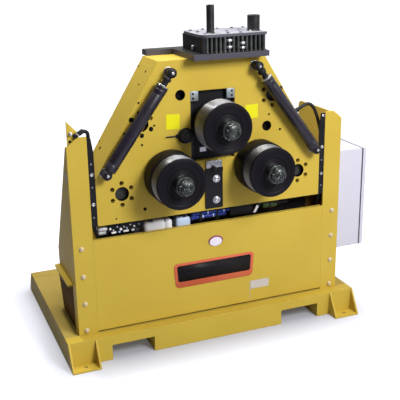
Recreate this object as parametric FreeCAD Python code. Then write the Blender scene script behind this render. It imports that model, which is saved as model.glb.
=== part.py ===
import FreeCAD, Part
import math
import os

os.makedirs("parts", exist_ok=True)

# Three-roll ring roller with a hydraulically driven top roll, standing on a fork-lift skid.
# Millimetres. Origin: centre of the four anchor holes, on the floor. +X right, +Y back, +Z up.

# ---------------------------------------------------------------- driving dimensions

# Skid
skid_side_margin = 65.0
skid_depth = 863.0
skid_height = 118.0
skid_plate = 8.0
rail_width = 73.0
sill_flange = 62.0
fork_spacing = 852.0
fork_pocket_width = 200.0
fork_pocket_height = 72.0
tunnel_plate = 6.0
foot_width = 130.0
foot_reach = 64.0
anchor_hole_radius = 9.0
anchor_hole_side_inset = 65.0
anchor_hole_edge_inset = 32.0

# Frame posts, front panel and shelf
front_setback = 57.5
head_post_gap = 26.5
post_width = 88.5
post_plate = 8.0
post_height = 1022.0
post_chamfer_height = 38.0
post_chamfer_width = 45.0
left_web_foot_depth = 60.0
left_web_depth = 326.0
left_web_shoulder = 430.0
left_web_top_depth = 22.0
right_web_depth = 401.0
right_web_height = 1000.0
right_web_corner_radius = 26.0
panel_top = 558.5
panel_seam = 8.0
panel_plate = 5.0
panel_lap = 74.0
panel_top_fold = 22.0
panel_bolt_radius = 5.0
panel_bolt_flats = 17.0
panel_bolt_head_height = 6.0
panel_bolt_count = 4
panel_bolt_pitch = 130.0
panel_bolt_top_drop = 30.0
shelf_top = 345.0
shelf_plate = 8.0
shelf_motor_clearance = 3.0
shelf_lip = 24.0
shelf_upstand = 145.0
shelf_left_recess = 60.0
shelf_leg_size = 50.0
shelf_leg_wall = 4.0

# Roller head
head_half_width = 545.0
head_bottom = 622.0
head_shoulder = 829.0
head_top = 1312.0
head_top_half_width = 248.0
head_depth = 197.0
head_plate = 25.0
head_side_plate = 16.0
head_bottom_plate = 20.0
head_bracket_height = 150.0
head_bracket_depth = 64.0
head_bracket_rise = 20.0
head_bracket_setback = 60.0
side_bar_thickness = 10.0
side_bar_setback = 2.0
side_bar_top_drop = 7.0
side_bar_chamfer_width = 9.0
side_bar_chamfer_height = 65.0

# Guide-arm sockets and plain holes in the head's front plate
socket_radius = 31.5
socket_bolt_circle = 98.0
socket_bolt_radius = 7.0
socket_bolt_count = 6
lower_socket_inset = 115.0
lower_socket_z = 754.0
upper_left_socket_x = 330.0
upper_left_socket_z = 1050.0
upper_right_socket_x = 292.0
upper_right_socket_z = 1128.0
sight_hole_radius = 21.0
left_sight_hole_x = 151.0
left_sight_hole_z = 1161.0
right_sight_hole_x = 265.0
right_sight_hole_z = 986.0

# Rolls and shafts
lower_roll_x = 214.5
lower_roll_z = 814.0
top_roll_z = 1031.0
roll_radius = 112.5
lower_rear_ring_radius = 118.0
top_rear_ring_radius = 98.0
roll_gap = 12.0
lower_rear_ring_width = 83.0
top_rear_ring_width = 52.0
roll_set_width = 158.0
front_disc_width = 12.0
disc_dish_radius = 92.0
disc_dish_depth = 3.0
ring_chamfer = 3.0
roll_seat_radius = 35.0
journal_radius = 40.0
shoulder_radius = 46.0
shoulder_clearance = 2.5
journal_end_play = 0.5
thread_radius = 27.5
collar_radius = 43.0
collar_width = 38.0
locknut_radius = 34.0
locknut_width = 20.0
locknut_slots = 4
locknut_slot_width = 10.0
locknut_slot_depth = 7.0
nose_overhang = 8.0
bearing_clearance = 0.05
lower_bearing_radius = 75.0
top_bearing_radius = 52.0
shaft_tail_radius = 28.0
shaft_tail_length = 36.0

# Gear motors
gear_flange_radius = 84.0
gear_flange_width = 20.0
gear_body_radius = 72.0
gear_body_width = 105.0
motor_body_radius = 46.0
motor_body_width = 110.0
motor_port_width = 44.0
motor_port_height = 60.0

# Top slide and its hydraulic cylinder
slide_half_width = 84.0
slide_height = 140.0
slide_play = 0.1
slide_travel_up = 60.0
slide_travel_down = 85.0
boss_radius = 62.0
boss_proud = 2.0
boss_bearing_inset = 1.0
window_half_width = 105.0
window_above_roll = 142.0
window_below_roll = 171.0
shield_thickness = 6.0
shield_lap = 5.0
shield_top_clearance = 10.0
guide_width = 40.0
guide_overrun = 14.0
gib_width = 38.0
gib_height = 44.0
gib_depth = 18.0
rear_window_clearance = 8.0
barrel_radius = 44.0
bore_radius = 36.0
barrel_clearance = 0.2
piston_clearance = 0.05
barrel_slide_clearance = 17.0
gland_length = 24.0
gland_flange_radius = 58.0
gland_flange_height = 12.0
piston_rod_radius = 25.0
piston_height = 30.0
piston_end_play = 4.0

# Centre bar and block below the slide window
centre_bar_width = 84.0
centre_bar_thickness = 8.0
centre_bar_rise = 10.0
centre_block_width = 76.0
centre_block_height = 48.0
centre_block_thickness = 10.0
centre_block_drop = 4.0

# Indicator base with its clamp knob and rod, left of the slide window
indicator_drop = 48.0
indicator_height = 16.0
indicator_thickness = 6.0
indicator_inner_x = 110.0
indicator_knob_x = 134.0
indicator_outer_x = 176.0
indicator_rod_radius = 3.0
indicator_rod_reach = 222.0
knob_radius = 29.0
knob_width = 26.0
knob_stem_radius = 6.0
knob_end_play = 0.3
knob_grip_count = 6
knob_grip_radius = 5.0

# Parked guide-arm cylinders
cylinder_low_inset = 42.0
cylinder_low_z = 857.0
cylinder_high_x = 202.0
cylinder_high_z = 1265.0
cylinder_stand_off = 36.0
cylinder_radius = 27.0
cylinder_bore_radius = 20.0
cylinder_rod_radius = 13.0
cylinder_rod_show = 62.0
cylinder_eye_radius = 21.0
cylinder_eye_width = 30.0
cylinder_base_length = 30.0
cylinder_gland = 22.0
cylinder_pin_radius = 10.0
cylinder_pin_clearance = 0.05
cylinder_pin_head = 16.0
cylinder_pin_head_width = 4.0
cylinder_boss_radius = 18.0
cylinder_boss_gap = 3.0

# Top unit: cap plate, manifold, tie studs, cover and mast sockets
cap_plate_thickness = 24.0
cap_front_overhang = 73.0
cap_left = 112.0
cap_right = 238.0
cap_rear_left = 236.0
cap_rear_bar = 60.0
cap_rear_overhang = 47.0
manifold_left = 52.0
manifold_right = 214.0
manifold_front_inset = 38.0
manifold_depth = 193.0
manifold_height = 66.0
stud_across_flats = 13.0
stud_offset = 10.0
stud_pitch = 20.0
cheek_width = 14.0
cover_margin = 20.0
cover_thickness = 12.0
cover_corner_radius = 38.0
tall_socket_x = -4.0
tall_socket_height = 118.0
tall_socket_radius = 17.0
tall_socket_wall = 4.0
short_socket_x = 204.0
short_socket_height = 66.0
short_socket_radius = 27.5
short_socket_wall = 5.5
socket_front_inset = 62.0

# Power pack
tank_left = 420.0
tank_right = 300.0
tank_front_gap = 86.0
tank_depth = 490.0
tank_height = 202.0
tank_edge_radius = 12.0
tank_wall = 4.0
tank_lid = 6.0
filler_radius = 32.0
filler_height = 46.0
filler_side_inset = 120.0
filler_rear_inset = 60.0
motor_axis_height = 105.0
motor_radius = 88.0
motor_fin_radius = 97.0
motor_fin_count = 4
motor_fin_width = 14.0
motor_length = 320.0
motor_left = 60.0
motor_setback = 364.0
motor_foot_width = 30.0
motor_foot_spread = 160.0
terminal_box_size = 90.0
terminal_box_height = 45.0
bell_radius = 74.0
bell_length = 66.0
pump_radius = 46.0
pump_length = 104.0
pump_plate = 14.0
valve_left = 335.0
valve_right = 95.0
valve_front_gap = 42.0
valve_depth = 90.0
valve_height = 150.0
solenoid_count = 2
solenoid_width = 106.0
solenoid_depth = 60.0
solenoid_height = 92.0
hose_radius = 8.0
union_radius = 9.0
union_length = 18.0
nipple_radius = 6.5
hose_bracket_plate = 6.0
hose_bracket_width = 52.0
hose_bracket_bottom = 930.0
hose_bracket_top = 1094.0
hose_bracket_shoulder = 1047.0
head_union_height = 1010.0
shelf_union_front_gap = 75.0
shelf_union_height = 25.0
valve_union_height = 105.0

# Electrical cabinet on the right side plate
cabinet_width = 240.0
cabinet_height = 520.0
cabinet_depth = 235.0
cabinet_front_gap = 154.0
cabinet_bottom = 255.0
cabinet_wall = 3.0
door_gap = 0.5
door_thickness = 18.0
door_wall = 3.0
hinge_radius = 8.0
hinge_edge_gap = 0.5
hinge_pin_radius = 4.0
hinge_clearance = 0.05
hinge_length = 40.0
hinge_end_inset = 70.0
hinge_end_play = 0.3
gear_plate_gap = 12.0
gear_plate_inset = 25.0
contactor_columns = 3
contactor_rows = 2
contactor_pitch = 48.0
contactor_gap = 6.0
contactor_height = 78.0
contactor_depth = 72.0
contactor_row_pitch = 110.0
transformer_height = 90.0
transformer_depth = 100.0
lock_radius = 11.0
lock_stem_radius = 6.0
lock_edge_inset = 28.0
lock_cam_length = 20.0
lock_cam_width = 12.0
isolator_radius = 24.0
isolator_stem_radius = 5.0
isolator_drop = 90.0
turning_clearance = 0.05

# ---------------------------------------------------------------- derived places

post_inner = head_half_width + head_post_gap
post_half_span = post_inner + post_width
web_inner = post_half_span - post_plate
half_width = post_half_span + skid_side_margin
half_depth = skid_depth / 2
front_y = -half_depth + front_setback
head_rear_y = front_y + head_depth
inner_front_y = front_y + head_plate
inner_rear_y = head_rear_y - head_plate
shelf_bottom = shelf_top - shelf_plate
motor_y = front_y + motor_setback
shelf_rear_y = motor_y + motor_fin_radius + shelf_motor_clearance
roll_back_y = front_y - roll_gap
roll_front_y = roll_back_y - roll_set_width
slide_top = top_roll_z + slide_height / 2
slide_bottom = top_roll_z - slide_height / 2
window_top = top_roll_z + window_above_roll
window_bottom = top_roll_z - window_below_roll
cap_top = head_top + cap_plate_thickness
cap_front_y = front_y - cap_front_overhang
cover_bottom = cap_top + manifold_height
cover_top = cover_bottom + cover_thickness
slide_axis_y = (front_y + head_rear_y) / 2
indicator_z = top_roll_z - indicator_drop
shelf_union_x = head_half_width
shelf_union_y = front_y + shelf_union_front_gap
lower_socket_x = head_half_width - lower_socket_inset
cylinder_low_x = head_half_width - cylinder_low_inset


# ---------------------------------------------------------------- shape helpers

def box(x0, x1, y0, y1, z0, z1):
    """Block between two corners given in any order."""
    low = FreeCAD.Vector(min(x0, x1), min(y0, y1), min(z0, z1))
    return Part.makeBox(abs(x1 - x0), abs(y1 - y0), abs(z1 - z0), low)


def rod_x(radius, y, z, x0, x1):
    """Cylinder along X."""
    start = FreeCAD.Vector(min(x0, x1), y, z)
    return Part.makeCylinder(radius, abs(x1 - x0), start, FreeCAD.Vector(1, 0, 0))


def rod_y(radius, x, z, y0, y1):
    """Cylinder along Y."""
    start = FreeCAD.Vector(x, min(y0, y1), z)
    return Part.makeCylinder(radius, abs(y1 - y0), start, FreeCAD.Vector(0, 1, 0))


def rod_z(radius, x, y, z0, z1):
    """Cylinder along Z."""
    start = FreeCAD.Vector(x, y, min(z0, z1))
    return Part.makeCylinder(radius, abs(z1 - z0), start, FreeCAD.Vector(0, 0, 1))


def face_of(corners):
    """Flat face through a closed run of corner points."""
    return Part.Face(Part.makePolygon(corners + [corners[0]]))


def prism_y(points, y0, y1):
    """Outline in X and Z, extruded along Y."""
    corners = [FreeCAD.Vector(x, y0, z) for x, z in points]
    return face_of(corners).extrude(FreeCAD.Vector(0, y1 - y0, 0))


def prism_x(points, x0, x1):
    """Outline in Y and Z, extruded along X."""
    corners = [FreeCAD.Vector(x0, y, z) for y, z in points]
    return face_of(corners).extrude(FreeCAD.Vector(x1 - x0, 0, 0))


def prism_z(points, z0, z1):
    """Outline in X and Y, extruded along Z."""
    corners = [FreeCAD.Vector(x, y, z0) for x, y in points]
    return face_of(corners).extrude(FreeCAD.Vector(0, 0, z1 - z0))


def turned_x(profile, y, z):
    """Solid of revolution about a line along X from (radius, x) points."""
    corners = [FreeCAD.Vector(x, y, z + radius) for radius, x in profile]
    return face_of(corners).revolve(FreeCAD.Vector(0, y, z), FreeCAD.Vector(1, 0, 0), 360)


def turned(profile):
    """Solid of revolution about Z from (radius, height) points."""
    corners = [FreeCAD.Vector(radius, 0, height) for radius, height in profile]
    return face_of(corners).revolve(FreeCAD.Vector(0, 0, 0), FreeCAD.Vector(0, 0, 1), 360)


def turned_y(profile, x, z):
    """Solid of revolution about a line along Y from (radius, y) points."""
    corners = [FreeCAD.Vector(x + radius, y, z) for radius, y in profile]
    axis_point = FreeCAD.Vector(x, 0, z)
    return face_of(corners).revolve(axis_point, FreeCAD.Vector(0, 1, 0), 360)


def hex_stud(across_flats, x, y, z0, z1):
    """Hexagonal bar along Z."""
    radius = across_flats / math.sqrt(3)
    angles = [math.radians(60 * step) for step in range(6)]
    points = [(x + radius * math.cos(a), y + radius * math.sin(a)) for a in angles]
    return prism_z(points, z0, z1)


def hex_head(across_flats, x, z, y0, y1):
    """Hexagonal head along Y."""
    radius = across_flats / math.sqrt(3)
    angles = [math.radians(60 * step) for step in range(6)]
    points = [(x + radius * math.cos(a), z + radius * math.sin(a)) for a in angles]
    return prism_y(points, y0, y1)


def rounded_block(x0, x1, y0, y1, z0, z1, radius):
    """Block with its upright edges rounded."""
    block = box(x0, x1, y0, y1, z0, z1)
    upright = [e for e in block.Edges if abs(e.Vertexes[0].Z - e.Vertexes[-1].Z) > (z1 - z0) / 2]
    return block.makeFillet(radius, upright)


def joined(shapes):
    """One solid from touching shapes."""
    return shapes[0].multiFuse(shapes[1:]).removeSplitter()


def flipped_x(shape):
    """Copy mirrored to the other side of the machine."""
    return shape.mirror(FreeCAD.Vector(0, 0, 0), FreeCAD.Vector(1, 0, 0))


def flipped_y(shape):
    """Copy mirrored front to back about the skid's centre."""
    return shape.mirror(FreeCAD.Vector(0, 0, 0), FreeCAD.Vector(0, 1, 0))


def write(node, *solids):
    """Write one node's solids to parts/NODE.step."""
    shape = solids[0] if len(solids) == 1 else Part.makeCompound(list(solids))
    shape.exportStep(os.path.join("parts", node + ".step"))


def bolt_circle(x, z, y0, y1):
    """Cutters for one guide-arm socket: the bore and its ring of bolt holes."""
    cutters = [rod_y(socket_radius, x, z, y0, y1)]
    for step in range(socket_bolt_count):
        angle = math.radians(90 + 360.0 * step / socket_bolt_count)
        hole_x = x + socket_bolt_circle / 2 * math.cos(angle)
        hole_z = z + socket_bolt_circle / 2 * math.sin(angle)
        cutters.append(rod_y(socket_bolt_radius, hole_x, hole_z, y0, y1))
    return cutters


# ---------------------------------------------------------------- skid

def fork_span(side):
    """Inner and outer X of one fork pocket; side is -1 or 1."""
    centre = side * fork_spacing / 2
    return centre - fork_pocket_width / 2, centre + fork_pocket_width / 2


def front_sill():
    """Bent front sill with the two fork pockets cut from its lower edge."""
    web = box(-half_width, half_width, -half_depth, -half_depth + skid_plate, 0, skid_height)
    flange = box(-half_width, half_width, -half_depth, -half_depth + sill_flange,
                 skid_height - skid_plate, skid_height)
    sill = joined([web, flange])
    for side in (-1, 1):
        x0, x1 = fork_span(side)
        sill = sill.cut(box(x0, x1, -half_depth, -half_depth + skid_plate, 0, fork_pocket_height))
    return sill


def side_rail():
    """Left channel rail between the sills, open towards the inside."""
    y0 = -half_depth + skid_plate
    web = box(-half_width, -half_width + skid_plate, y0, -y0, 0, skid_height - skid_plate)
    foot = box(-half_width, -half_width + rail_width, y0, -y0, 0, skid_plate)
    y1 = -half_depth + sill_flange
    lid = box(-half_width, -half_width + rail_width, y1, -y1, skid_height - skid_plate, skid_height)
    return joined([web, foot, lid])


def fork_tunnel(side):
    """Two walls and a roof that guide one fork from sill to sill."""
    x0, x1 = fork_span(side)
    y0 = -half_depth + skid_plate
    top = skid_height - skid_plate
    inner_wall = box(x0 - tunnel_plate, x0, y0, -y0, 0, top)
    outer_wall = box(x1, x1 + tunnel_plate, y0, -y0, 0, top)
    roof = box(x0, x1, y0, -y0, fork_pocket_height, fork_pocket_height + tunnel_plate)
    return joined([inner_wall, roof, outer_wall])


def anchor_foot():
    """Front left corner foot: a floor flange with one hole between two sloping gussets."""
    x0 = -half_width
    x1 = x0 + foot_width
    y0 = -half_depth - foot_reach
    base = box(x0, x1, y0, -half_depth, 0, skid_plate)
    slope = [(-half_depth, 0), (y0, 0), (y0, skid_plate), (-half_depth, skid_height)]
    gussets = [prism_x(slope, x0, x0 + skid_plate), prism_x(slope, x1 - skid_plate, x1)]
    hole_x = x0 + anchor_hole_side_inset
    hole = rod_z(anchor_hole_radius, hole_x, y0 + anchor_hole_edge_inset, 0, skid_plate)
    return joined([base] + gussets).cut(hole)


def build_skid():
    """Skid frame, deck, fork tunnels and anchor feet."""
    sill = front_sill()
    write("front_sill", sill)
    write("rear_sill", flipped_y(sill))
    rail = side_rail()
    write("side_rails", rail, flipped_x(rail))
    deck_x = half_width - rail_width
    deck_y = half_depth - sill_flange
    write("deck_plate", box(-deck_x, deck_x, -deck_y, deck_y, skid_height - skid_plate, skid_height))
    write("fork_tunnels", fork_tunnel(-1), fork_tunnel(1))
    foot = anchor_foot()
    rear_foot = flipped_y(foot)
    write("anchor_feet", foot, flipped_x(foot), rear_foot, flipped_x(rear_foot))


# ---------------------------------------------------------------- frame

def panel_bolt_heights():
    """Heights of the panel bolts, from the top down."""
    top = panel_top - panel_bolt_top_drop
    return [top - panel_bolt_pitch * step for step in range(panel_bolt_count)]


def panel_bolt_x():
    """Distance of the panel bolts from the machine's centre."""
    return post_half_span - post_width / 2 + post_plate


def drilled_for_panel_bolts(shape, side, y0, y1):
    """Shape with one side's panel bolt holes."""
    holes = []
    for height in panel_bolt_heights():
        holes.append(rod_y(panel_bolt_radius, side * panel_bolt_x(), height, y0, y1))
    return shape.cut(Part.makeCompound(holes))


def post_flange():
    """Front flange of the left post, with its chamfered outer top corner."""
    outline = [
        (-post_half_span, skid_height),
        (-post_inner, skid_height),
        (-post_inner, post_height),
        (-post_half_span + post_chamfer_width, post_height),
        (-post_half_span, post_height - post_chamfer_height),
    ]
    return prism_y(outline, front_y, front_y + post_plate)


def left_post():
    """Left post: front flange and a side web that tapers towards the top."""
    outline = [
        (front_y, skid_height),
        (front_y + left_web_foot_depth, skid_height),
        (front_y + left_web_foot_depth, shelf_top),
        (front_y + left_web_depth, shelf_top),
        (front_y + left_web_depth, left_web_shoulder),
        (front_y + left_web_top_depth, post_height - post_chamfer_height),
        (front_y, post_height - post_chamfer_height),
    ]
    web = prism_x(outline, -post_half_span, -web_inner)
    post = joined([post_flange(), web])
    return drilled_for_panel_bolts(post, -1, front_y, front_y + post_plate)


def right_post():
    """Right post: front flange and the deep side plate that carries the cabinet."""
    rear_y = front_y + right_web_depth
    outline = [
        (front_y, skid_height),
        (rear_y, skid_height),
        (rear_y, right_web_height),
        (front_y + post_chamfer_width, right_web_height),
        (front_y, post_height - post_chamfer_height),
    ]
    web = prism_x(outline, web_inner, post_half_span)
    corners = [e for e in web.Edges
               if all(abs(v.Y - rear_y) < 0.01 and v.Z > head_shoulder for v in e.Vertexes)
               and abs(e.Vertexes[0].X - e.Vertexes[-1].X) > 1]
    web = web.makeFillet(right_web_corner_radius, corners)
    post = joined([flipped_x(post_flange()), web])
    return drilled_for_panel_bolts(post, 1, front_y, front_y + post_plate)


def front_panel():
    """Front panel flush with the posts, lapping behind their flanges, folded at the top."""
    bottom = skid_height + panel_seam
    lap_front = front_y + post_plate
    lap_rear = lap_front + panel_plate
    edge = post_inner - panel_plate
    face = box(-post_inner, post_inner, front_y, front_y + panel_plate, bottom, panel_top)
    parts = [face]
    for side in (-1, 1):
        parts.append(box(side * edge, side * post_inner, front_y, lap_rear, bottom, panel_top))
        parts.append(box(side * edge, side * (post_inner + panel_lap), lap_front, lap_rear,
                         bottom, panel_top))
    parts.append(box(-edge, edge, front_y, front_y + panel_top_fold,
                     panel_top - panel_plate, panel_top))
    panel = joined(parts)
    for side in (-1, 1):
        panel = drilled_for_panel_bolts(panel, side, lap_front, lap_rear)
    return panel


def panel_bolts():
    """Hexagon bolts that hold the front panel to the posts."""
    bolts = []
    rear = front_y + post_plate + panel_plate
    for side in (-1, 1):
        x = side * panel_bolt_x()
        for height in panel_bolt_heights():
            shank = rod_y(panel_bolt_radius, x, height, front_y, rear)
            head = hex_head(panel_bolt_flats, x, height, front_y - panel_bolt_head_height, front_y)
            bolts.append(joined([shank, head]))
    return bolts


def shelf():
    """Shelf plate between the posts, turned up at the rear, with a lip for the left web."""
    y0 = front_y + post_plate + panel_plate
    main = box(-post_half_span + shelf_left_recess, web_inner, y0, shelf_rear_y,
               shelf_bottom, shelf_top)
    lip_rear = front_y + left_web_depth
    lip = box(-post_half_span - shelf_lip, -post_half_span + shelf_left_recess,
              front_y + left_web_foot_depth, lip_rear, shelf_bottom, shelf_top)
    corner = box(-web_inner, -post_half_span + shelf_left_recess, y0,
                 front_y + left_web_foot_depth, shelf_bottom, shelf_top)
    upstand = box(-post_half_span + shelf_left_recess, web_inner, shelf_rear_y,
                  shelf_rear_y + shelf_plate, shelf_bottom, shelf_top + shelf_upstand)
    return joined([main, lip, corner, upstand])


def shelf_leg(x0):
    """Square tube leg from the deck to the shelf."""
    y1 = shelf_rear_y
    y0 = y1 - shelf_leg_size
    outer = box(x0, x0 + shelf_leg_size, y0, y1, skid_height, shelf_bottom)
    wall = shelf_leg_wall
    inner = box(x0 + wall, x0 + shelf_leg_size - wall, y0 + wall, y1 - wall,
                skid_height, shelf_bottom)
    return outer.cut(inner)


def build_frame():
    """Posts, front panel with its bolts, shelf and shelf legs."""
    write("left_post", left_post())
    write("right_post", right_post())
    write("front_panel", front_panel())
    write("panel_bolts", *panel_bolts())
    left_leg_x = -post_half_span + shelf_left_recess + post_plate
    right_leg_x = web_inner - shelf_leg_size
    write("shelf", shelf(), shelf_leg(left_leg_x), shelf_leg(right_leg_x))


# ---------------------------------------------------------------- roller head

def head_outline(inset):
    """Six-cornered head outline in X and Z, with the sides moved in by inset."""
    run = head_half_width - head_top_half_width
    rise = head_top - head_shoulder
    slope = math.hypot(run, rise)
    side = head_half_width - inset
    shoulder = head_shoulder - inset * (slope - rise) / run
    top = head_top_half_width - inset * slope / rise
    return [(-side, head_bottom), (side, head_bottom), (side, shoulder),
            (top, head_top), (-top, head_top), (-side, shoulder)]


def slide_window():
    """Cutter for the front window in which the top roll's bearing boss travels."""
    return box(-window_half_width, window_half_width, front_y, inner_front_y,
               window_bottom, window_top)


def head_front_plate():
    """Front plate with bearing seats, slide window, guide-arm sockets and plain holes."""
    plate = prism_y(head_outline(0), front_y, inner_front_y)
    cutters = [slide_window()]
    for side in (-1, 1):
        cutters.append(rod_y(lower_bearing_radius, side * lower_roll_x, lower_roll_z,
                             front_y, inner_front_y))
        cutters += bolt_circle(side * lower_socket_x, lower_socket_z, front_y, inner_front_y)
    cutters += bolt_circle(-upper_left_socket_x, upper_left_socket_z, front_y, inner_front_y)
    cutters += bolt_circle(upper_right_socket_x, upper_right_socket_z, front_y, inner_front_y)
    cutters.append(rod_y(sight_hole_radius, -left_sight_hole_x, left_sight_hole_z,
                         front_y, inner_front_y))
    cutters.append(rod_y(sight_hole_radius, right_sight_hole_x, right_sight_hole_z,
                         front_y, inner_front_y))
    return plate.cut(Part.makeCompound(cutters))


def rear_window_half_width():
    """Half width of the rear window, which clears the top gearbox flange."""
    return gear_body_radius + rear_window_clearance


def head_rear_plate():
    """Rear plate with bearing seats and the window for the top gear motor."""
    plate = prism_y(head_outline(0), inner_rear_y, head_rear_y)
    reach = gear_body_radius + rear_window_clearance
    low = top_roll_z - slide_travel_down - reach
    high = top_roll_z + slide_travel_up + reach
    cutters = [box(-rear_window_half_width(), rear_window_half_width(),
                   inner_rear_y, head_rear_y, low, high)]
    for side in (-1, 1):
        cutters.append(rod_y(lower_bearing_radius, side * lower_roll_x, lower_roll_z,
                             inner_rear_y, head_rear_y))
    return plate.cut(Part.makeCompound(cutters))


def head_sides():
    """Bent side plates, upright below the shoulder and sloping above it."""
    outer = prism_y(head_outline(0), inner_front_y, inner_rear_y)
    inner = prism_y(head_outline(head_side_plate), inner_front_y, inner_rear_y)
    low = head_bottom + head_bottom_plate
    high = head_top - head_plate
    left = box(-head_half_width, 0, inner_front_y, inner_rear_y, low, high)
    side = outer.cut(inner).common(left)
    return side, flipped_x(side)


def head_closing_plates():
    """Top plate, bored for the main cylinder, and bottom plate."""
    body = prism_y(head_outline(0), inner_front_y, inner_rear_y)
    wide = head_half_width
    top_slab = box(-wide, wide, inner_front_y, inner_rear_y, head_top - head_plate, head_top)
    low_slab = box(-wide, wide, inner_front_y, inner_rear_y,
                   head_bottom, head_bottom + head_bottom_plate)
    bore = rod_z(barrel_radius + barrel_clearance, 0, slide_axis_y, head_top - head_plate, head_top)
    return body.common(top_slab).cut(bore), body.common(low_slab)


def head_brackets():
    """Box brackets that carry the head between the posts' side plates."""
    y0 = front_y + head_bracket_setback
    z0 = head_bottom + head_bracket_rise
    bracket = box(-web_inner, -head_half_width, y0, y0 + head_bracket_depth,
                  z0, z0 + head_bracket_height)
    return bracket, flipped_x(bracket)


def side_bars():
    """Upright bars that fill the gaps between the head's front plate and the posts."""
    top = post_height - side_bar_top_drop
    outline = [
        (-post_inner, head_bottom),
        (-head_half_width, head_bottom),
        (-head_half_width, top - side_bar_chamfer_height),
        (-head_half_width - side_bar_chamfer_width, top),
        (-post_inner, top),
    ]
    y0 = front_y + side_bar_setback
    bar = prism_y(outline, y0, y0 + side_bar_thickness)
    return bar, flipped_x(bar)


def build_head():
    """Welded roller head and the brackets that hold it."""
    write("head_front_plate", head_front_plate())
    write("head_rear_plate", head_rear_plate())
    write("head_closing_plates", *head_sides(), *head_closing_plates())
    write("head_brackets", *head_brackets(), *side_bars())


# ---------------------------------------------------------------- rolls and drives

def roll_shaft(x, z, drive_face_y):
    """Stepped roll shaft: thread, roll seat, shoulder, journal and driven tail."""
    nose_y = roll_front_y - collar_width - locknut_width - nose_overhang
    shoulder_rear_y = front_y - shoulder_clearance
    journal_rear_y = drive_face_y - journal_end_play
    tail_y = drive_face_y + shaft_tail_length
    profile = [
        (0, nose_y),
        (thread_radius - ring_chamfer, nose_y),
        (thread_radius, nose_y + ring_chamfer),
        (thread_radius, roll_front_y),
        (roll_seat_radius, roll_front_y),
        (roll_seat_radius, roll_back_y),
        (shoulder_radius, roll_back_y),
        (shoulder_radius, shoulder_rear_y),
        (journal_radius, shoulder_rear_y),
        (journal_radius, journal_rear_y),
        (shaft_tail_radius, journal_rear_y),
        (shaft_tail_radius, tail_y),
        (0, tail_y),
    ]
    return turned_y(profile, x, z)


def ring(inner, outer, y0, y1, x, z, chamfer):
    """Plain roll ring with chamfered rims."""
    profile = [
        (inner, y0),
        (outer - chamfer, y0),
        (outer, y0 + chamfer),
        (outer, y1 - chamfer),
        (outer - chamfer, y1),
        (inner, y1),
    ]
    return turned_y(profile, x, z)


def front_disc(x, z):
    """Front disc of a roll set, slightly dished on its face."""
    y1 = roll_front_y + front_disc_width
    profile = [
        (roll_seat_radius, roll_front_y),
        (collar_radius, roll_front_y),
        (collar_radius + disc_dish_depth, roll_front_y + disc_dish_depth),
        (disc_dish_radius, roll_front_y + disc_dish_depth),
        (disc_dish_radius + disc_dish_depth, roll_front_y),
        (roll_radius - ring_chamfer, roll_front_y),
        (roll_radius, roll_front_y + ring_chamfer),
        (roll_radius, y1),
        (roll_seat_radius, y1),
    ]
    return turned_y(profile, x, z)


def locknut(x, z):
    """Spacer collar with a slotted locknut in front of it, in one turned piece."""
    step_y = roll_front_y - collar_width
    nose_y = step_y - locknut_width
    profile = [
        (thread_radius, roll_front_y),
        (collar_radius, roll_front_y),
        (collar_radius, step_y + ring_chamfer),
        (collar_radius - ring_chamfer, step_y),
        (locknut_radius, step_y),
        (locknut_radius, nose_y),
        (thread_radius, nose_y),
    ]
    nut = turned_y(profile, x, z)
    slot = box(x - locknut_slot_width / 2, x + locknut_slot_width / 2, nose_y, step_y,
               z + locknut_radius - locknut_slot_depth, z + locknut_radius + 1)
    axis_point = FreeCAD.Vector(x, 0, z)
    slots = []
    for step in range(locknut_slots):
        turned_slot = slot.copy()
        angle = 45 + 360.0 * step / locknut_slots
        turned_slot.rotate(axis_point, FreeCAD.Vector(0, 1, 0), angle)
        slots.append(turned_slot)
    return nut.cut(Part.makeCompound(slots))


def build_roll(name, x, z, rear_ring_radius, rear_ring_width, drive_face_y):
    """One roll set: shaft, rear ring with front disc, polished band and locknut."""
    rear_ring_front = roll_back_y - rear_ring_width
    disc_back = roll_front_y + front_disc_width
    write(name + "_shaft", roll_shaft(x, z, drive_face_y))
    rear_ring = ring(roll_seat_radius, rear_ring_radius, rear_ring_front, roll_back_y,
                     x, z, ring_chamfer)
    write(name + "_rings", rear_ring, front_disc(x, z))
    write(name + "_band", ring(roll_seat_radius, roll_radius, disc_back, rear_ring_front,
                               x, z, ring_chamfer))
    write(name + "_locknut", locknut(x, z))


def bearing(x, z, radius, y0, y1):
    """Bearing ring whose bore runs on a shaft journal."""
    outer = rod_y(radius, x, z, y0, y1)
    return outer.cut(rod_y(journal_radius + bearing_clearance, x, z, y0, y1))


def gear_motor(x, z, face_y, with_flange):
    """Planetary gearbox with a hydraulic motor and port block behind it."""
    flange_y = face_y + gear_flange_width
    body_y = face_y + gear_body_width
    motor_y1 = body_y + motor_body_width
    rim = gear_flange_radius if with_flange else gear_body_radius
    socket = shaft_tail_radius + turning_clearance
    socket_y = face_y + shaft_tail_length + shoulder_clearance
    profile = [
        (socket, face_y),
        (rim, face_y),
        (rim, flange_y),
        (gear_body_radius, flange_y),
        (gear_body_radius, body_y - ring_chamfer),
        (gear_body_radius - ring_chamfer, body_y),
        (motor_body_radius, body_y),
        (motor_body_radius, motor_y1),
        (0, motor_y1),
        (0, socket_y),
        (socket, socket_y),
    ]
    turned_body = turned_y(profile, x, z)
    port_y = body_y + motor_body_width / 2
    ports = box(x - motor_port_width / 2, x + motor_port_width / 2,
                port_y - motor_port_width / 2, port_y + motor_port_width / 2,
                z, z + motor_port_height)
    return joined([turned_body, ports])


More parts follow.
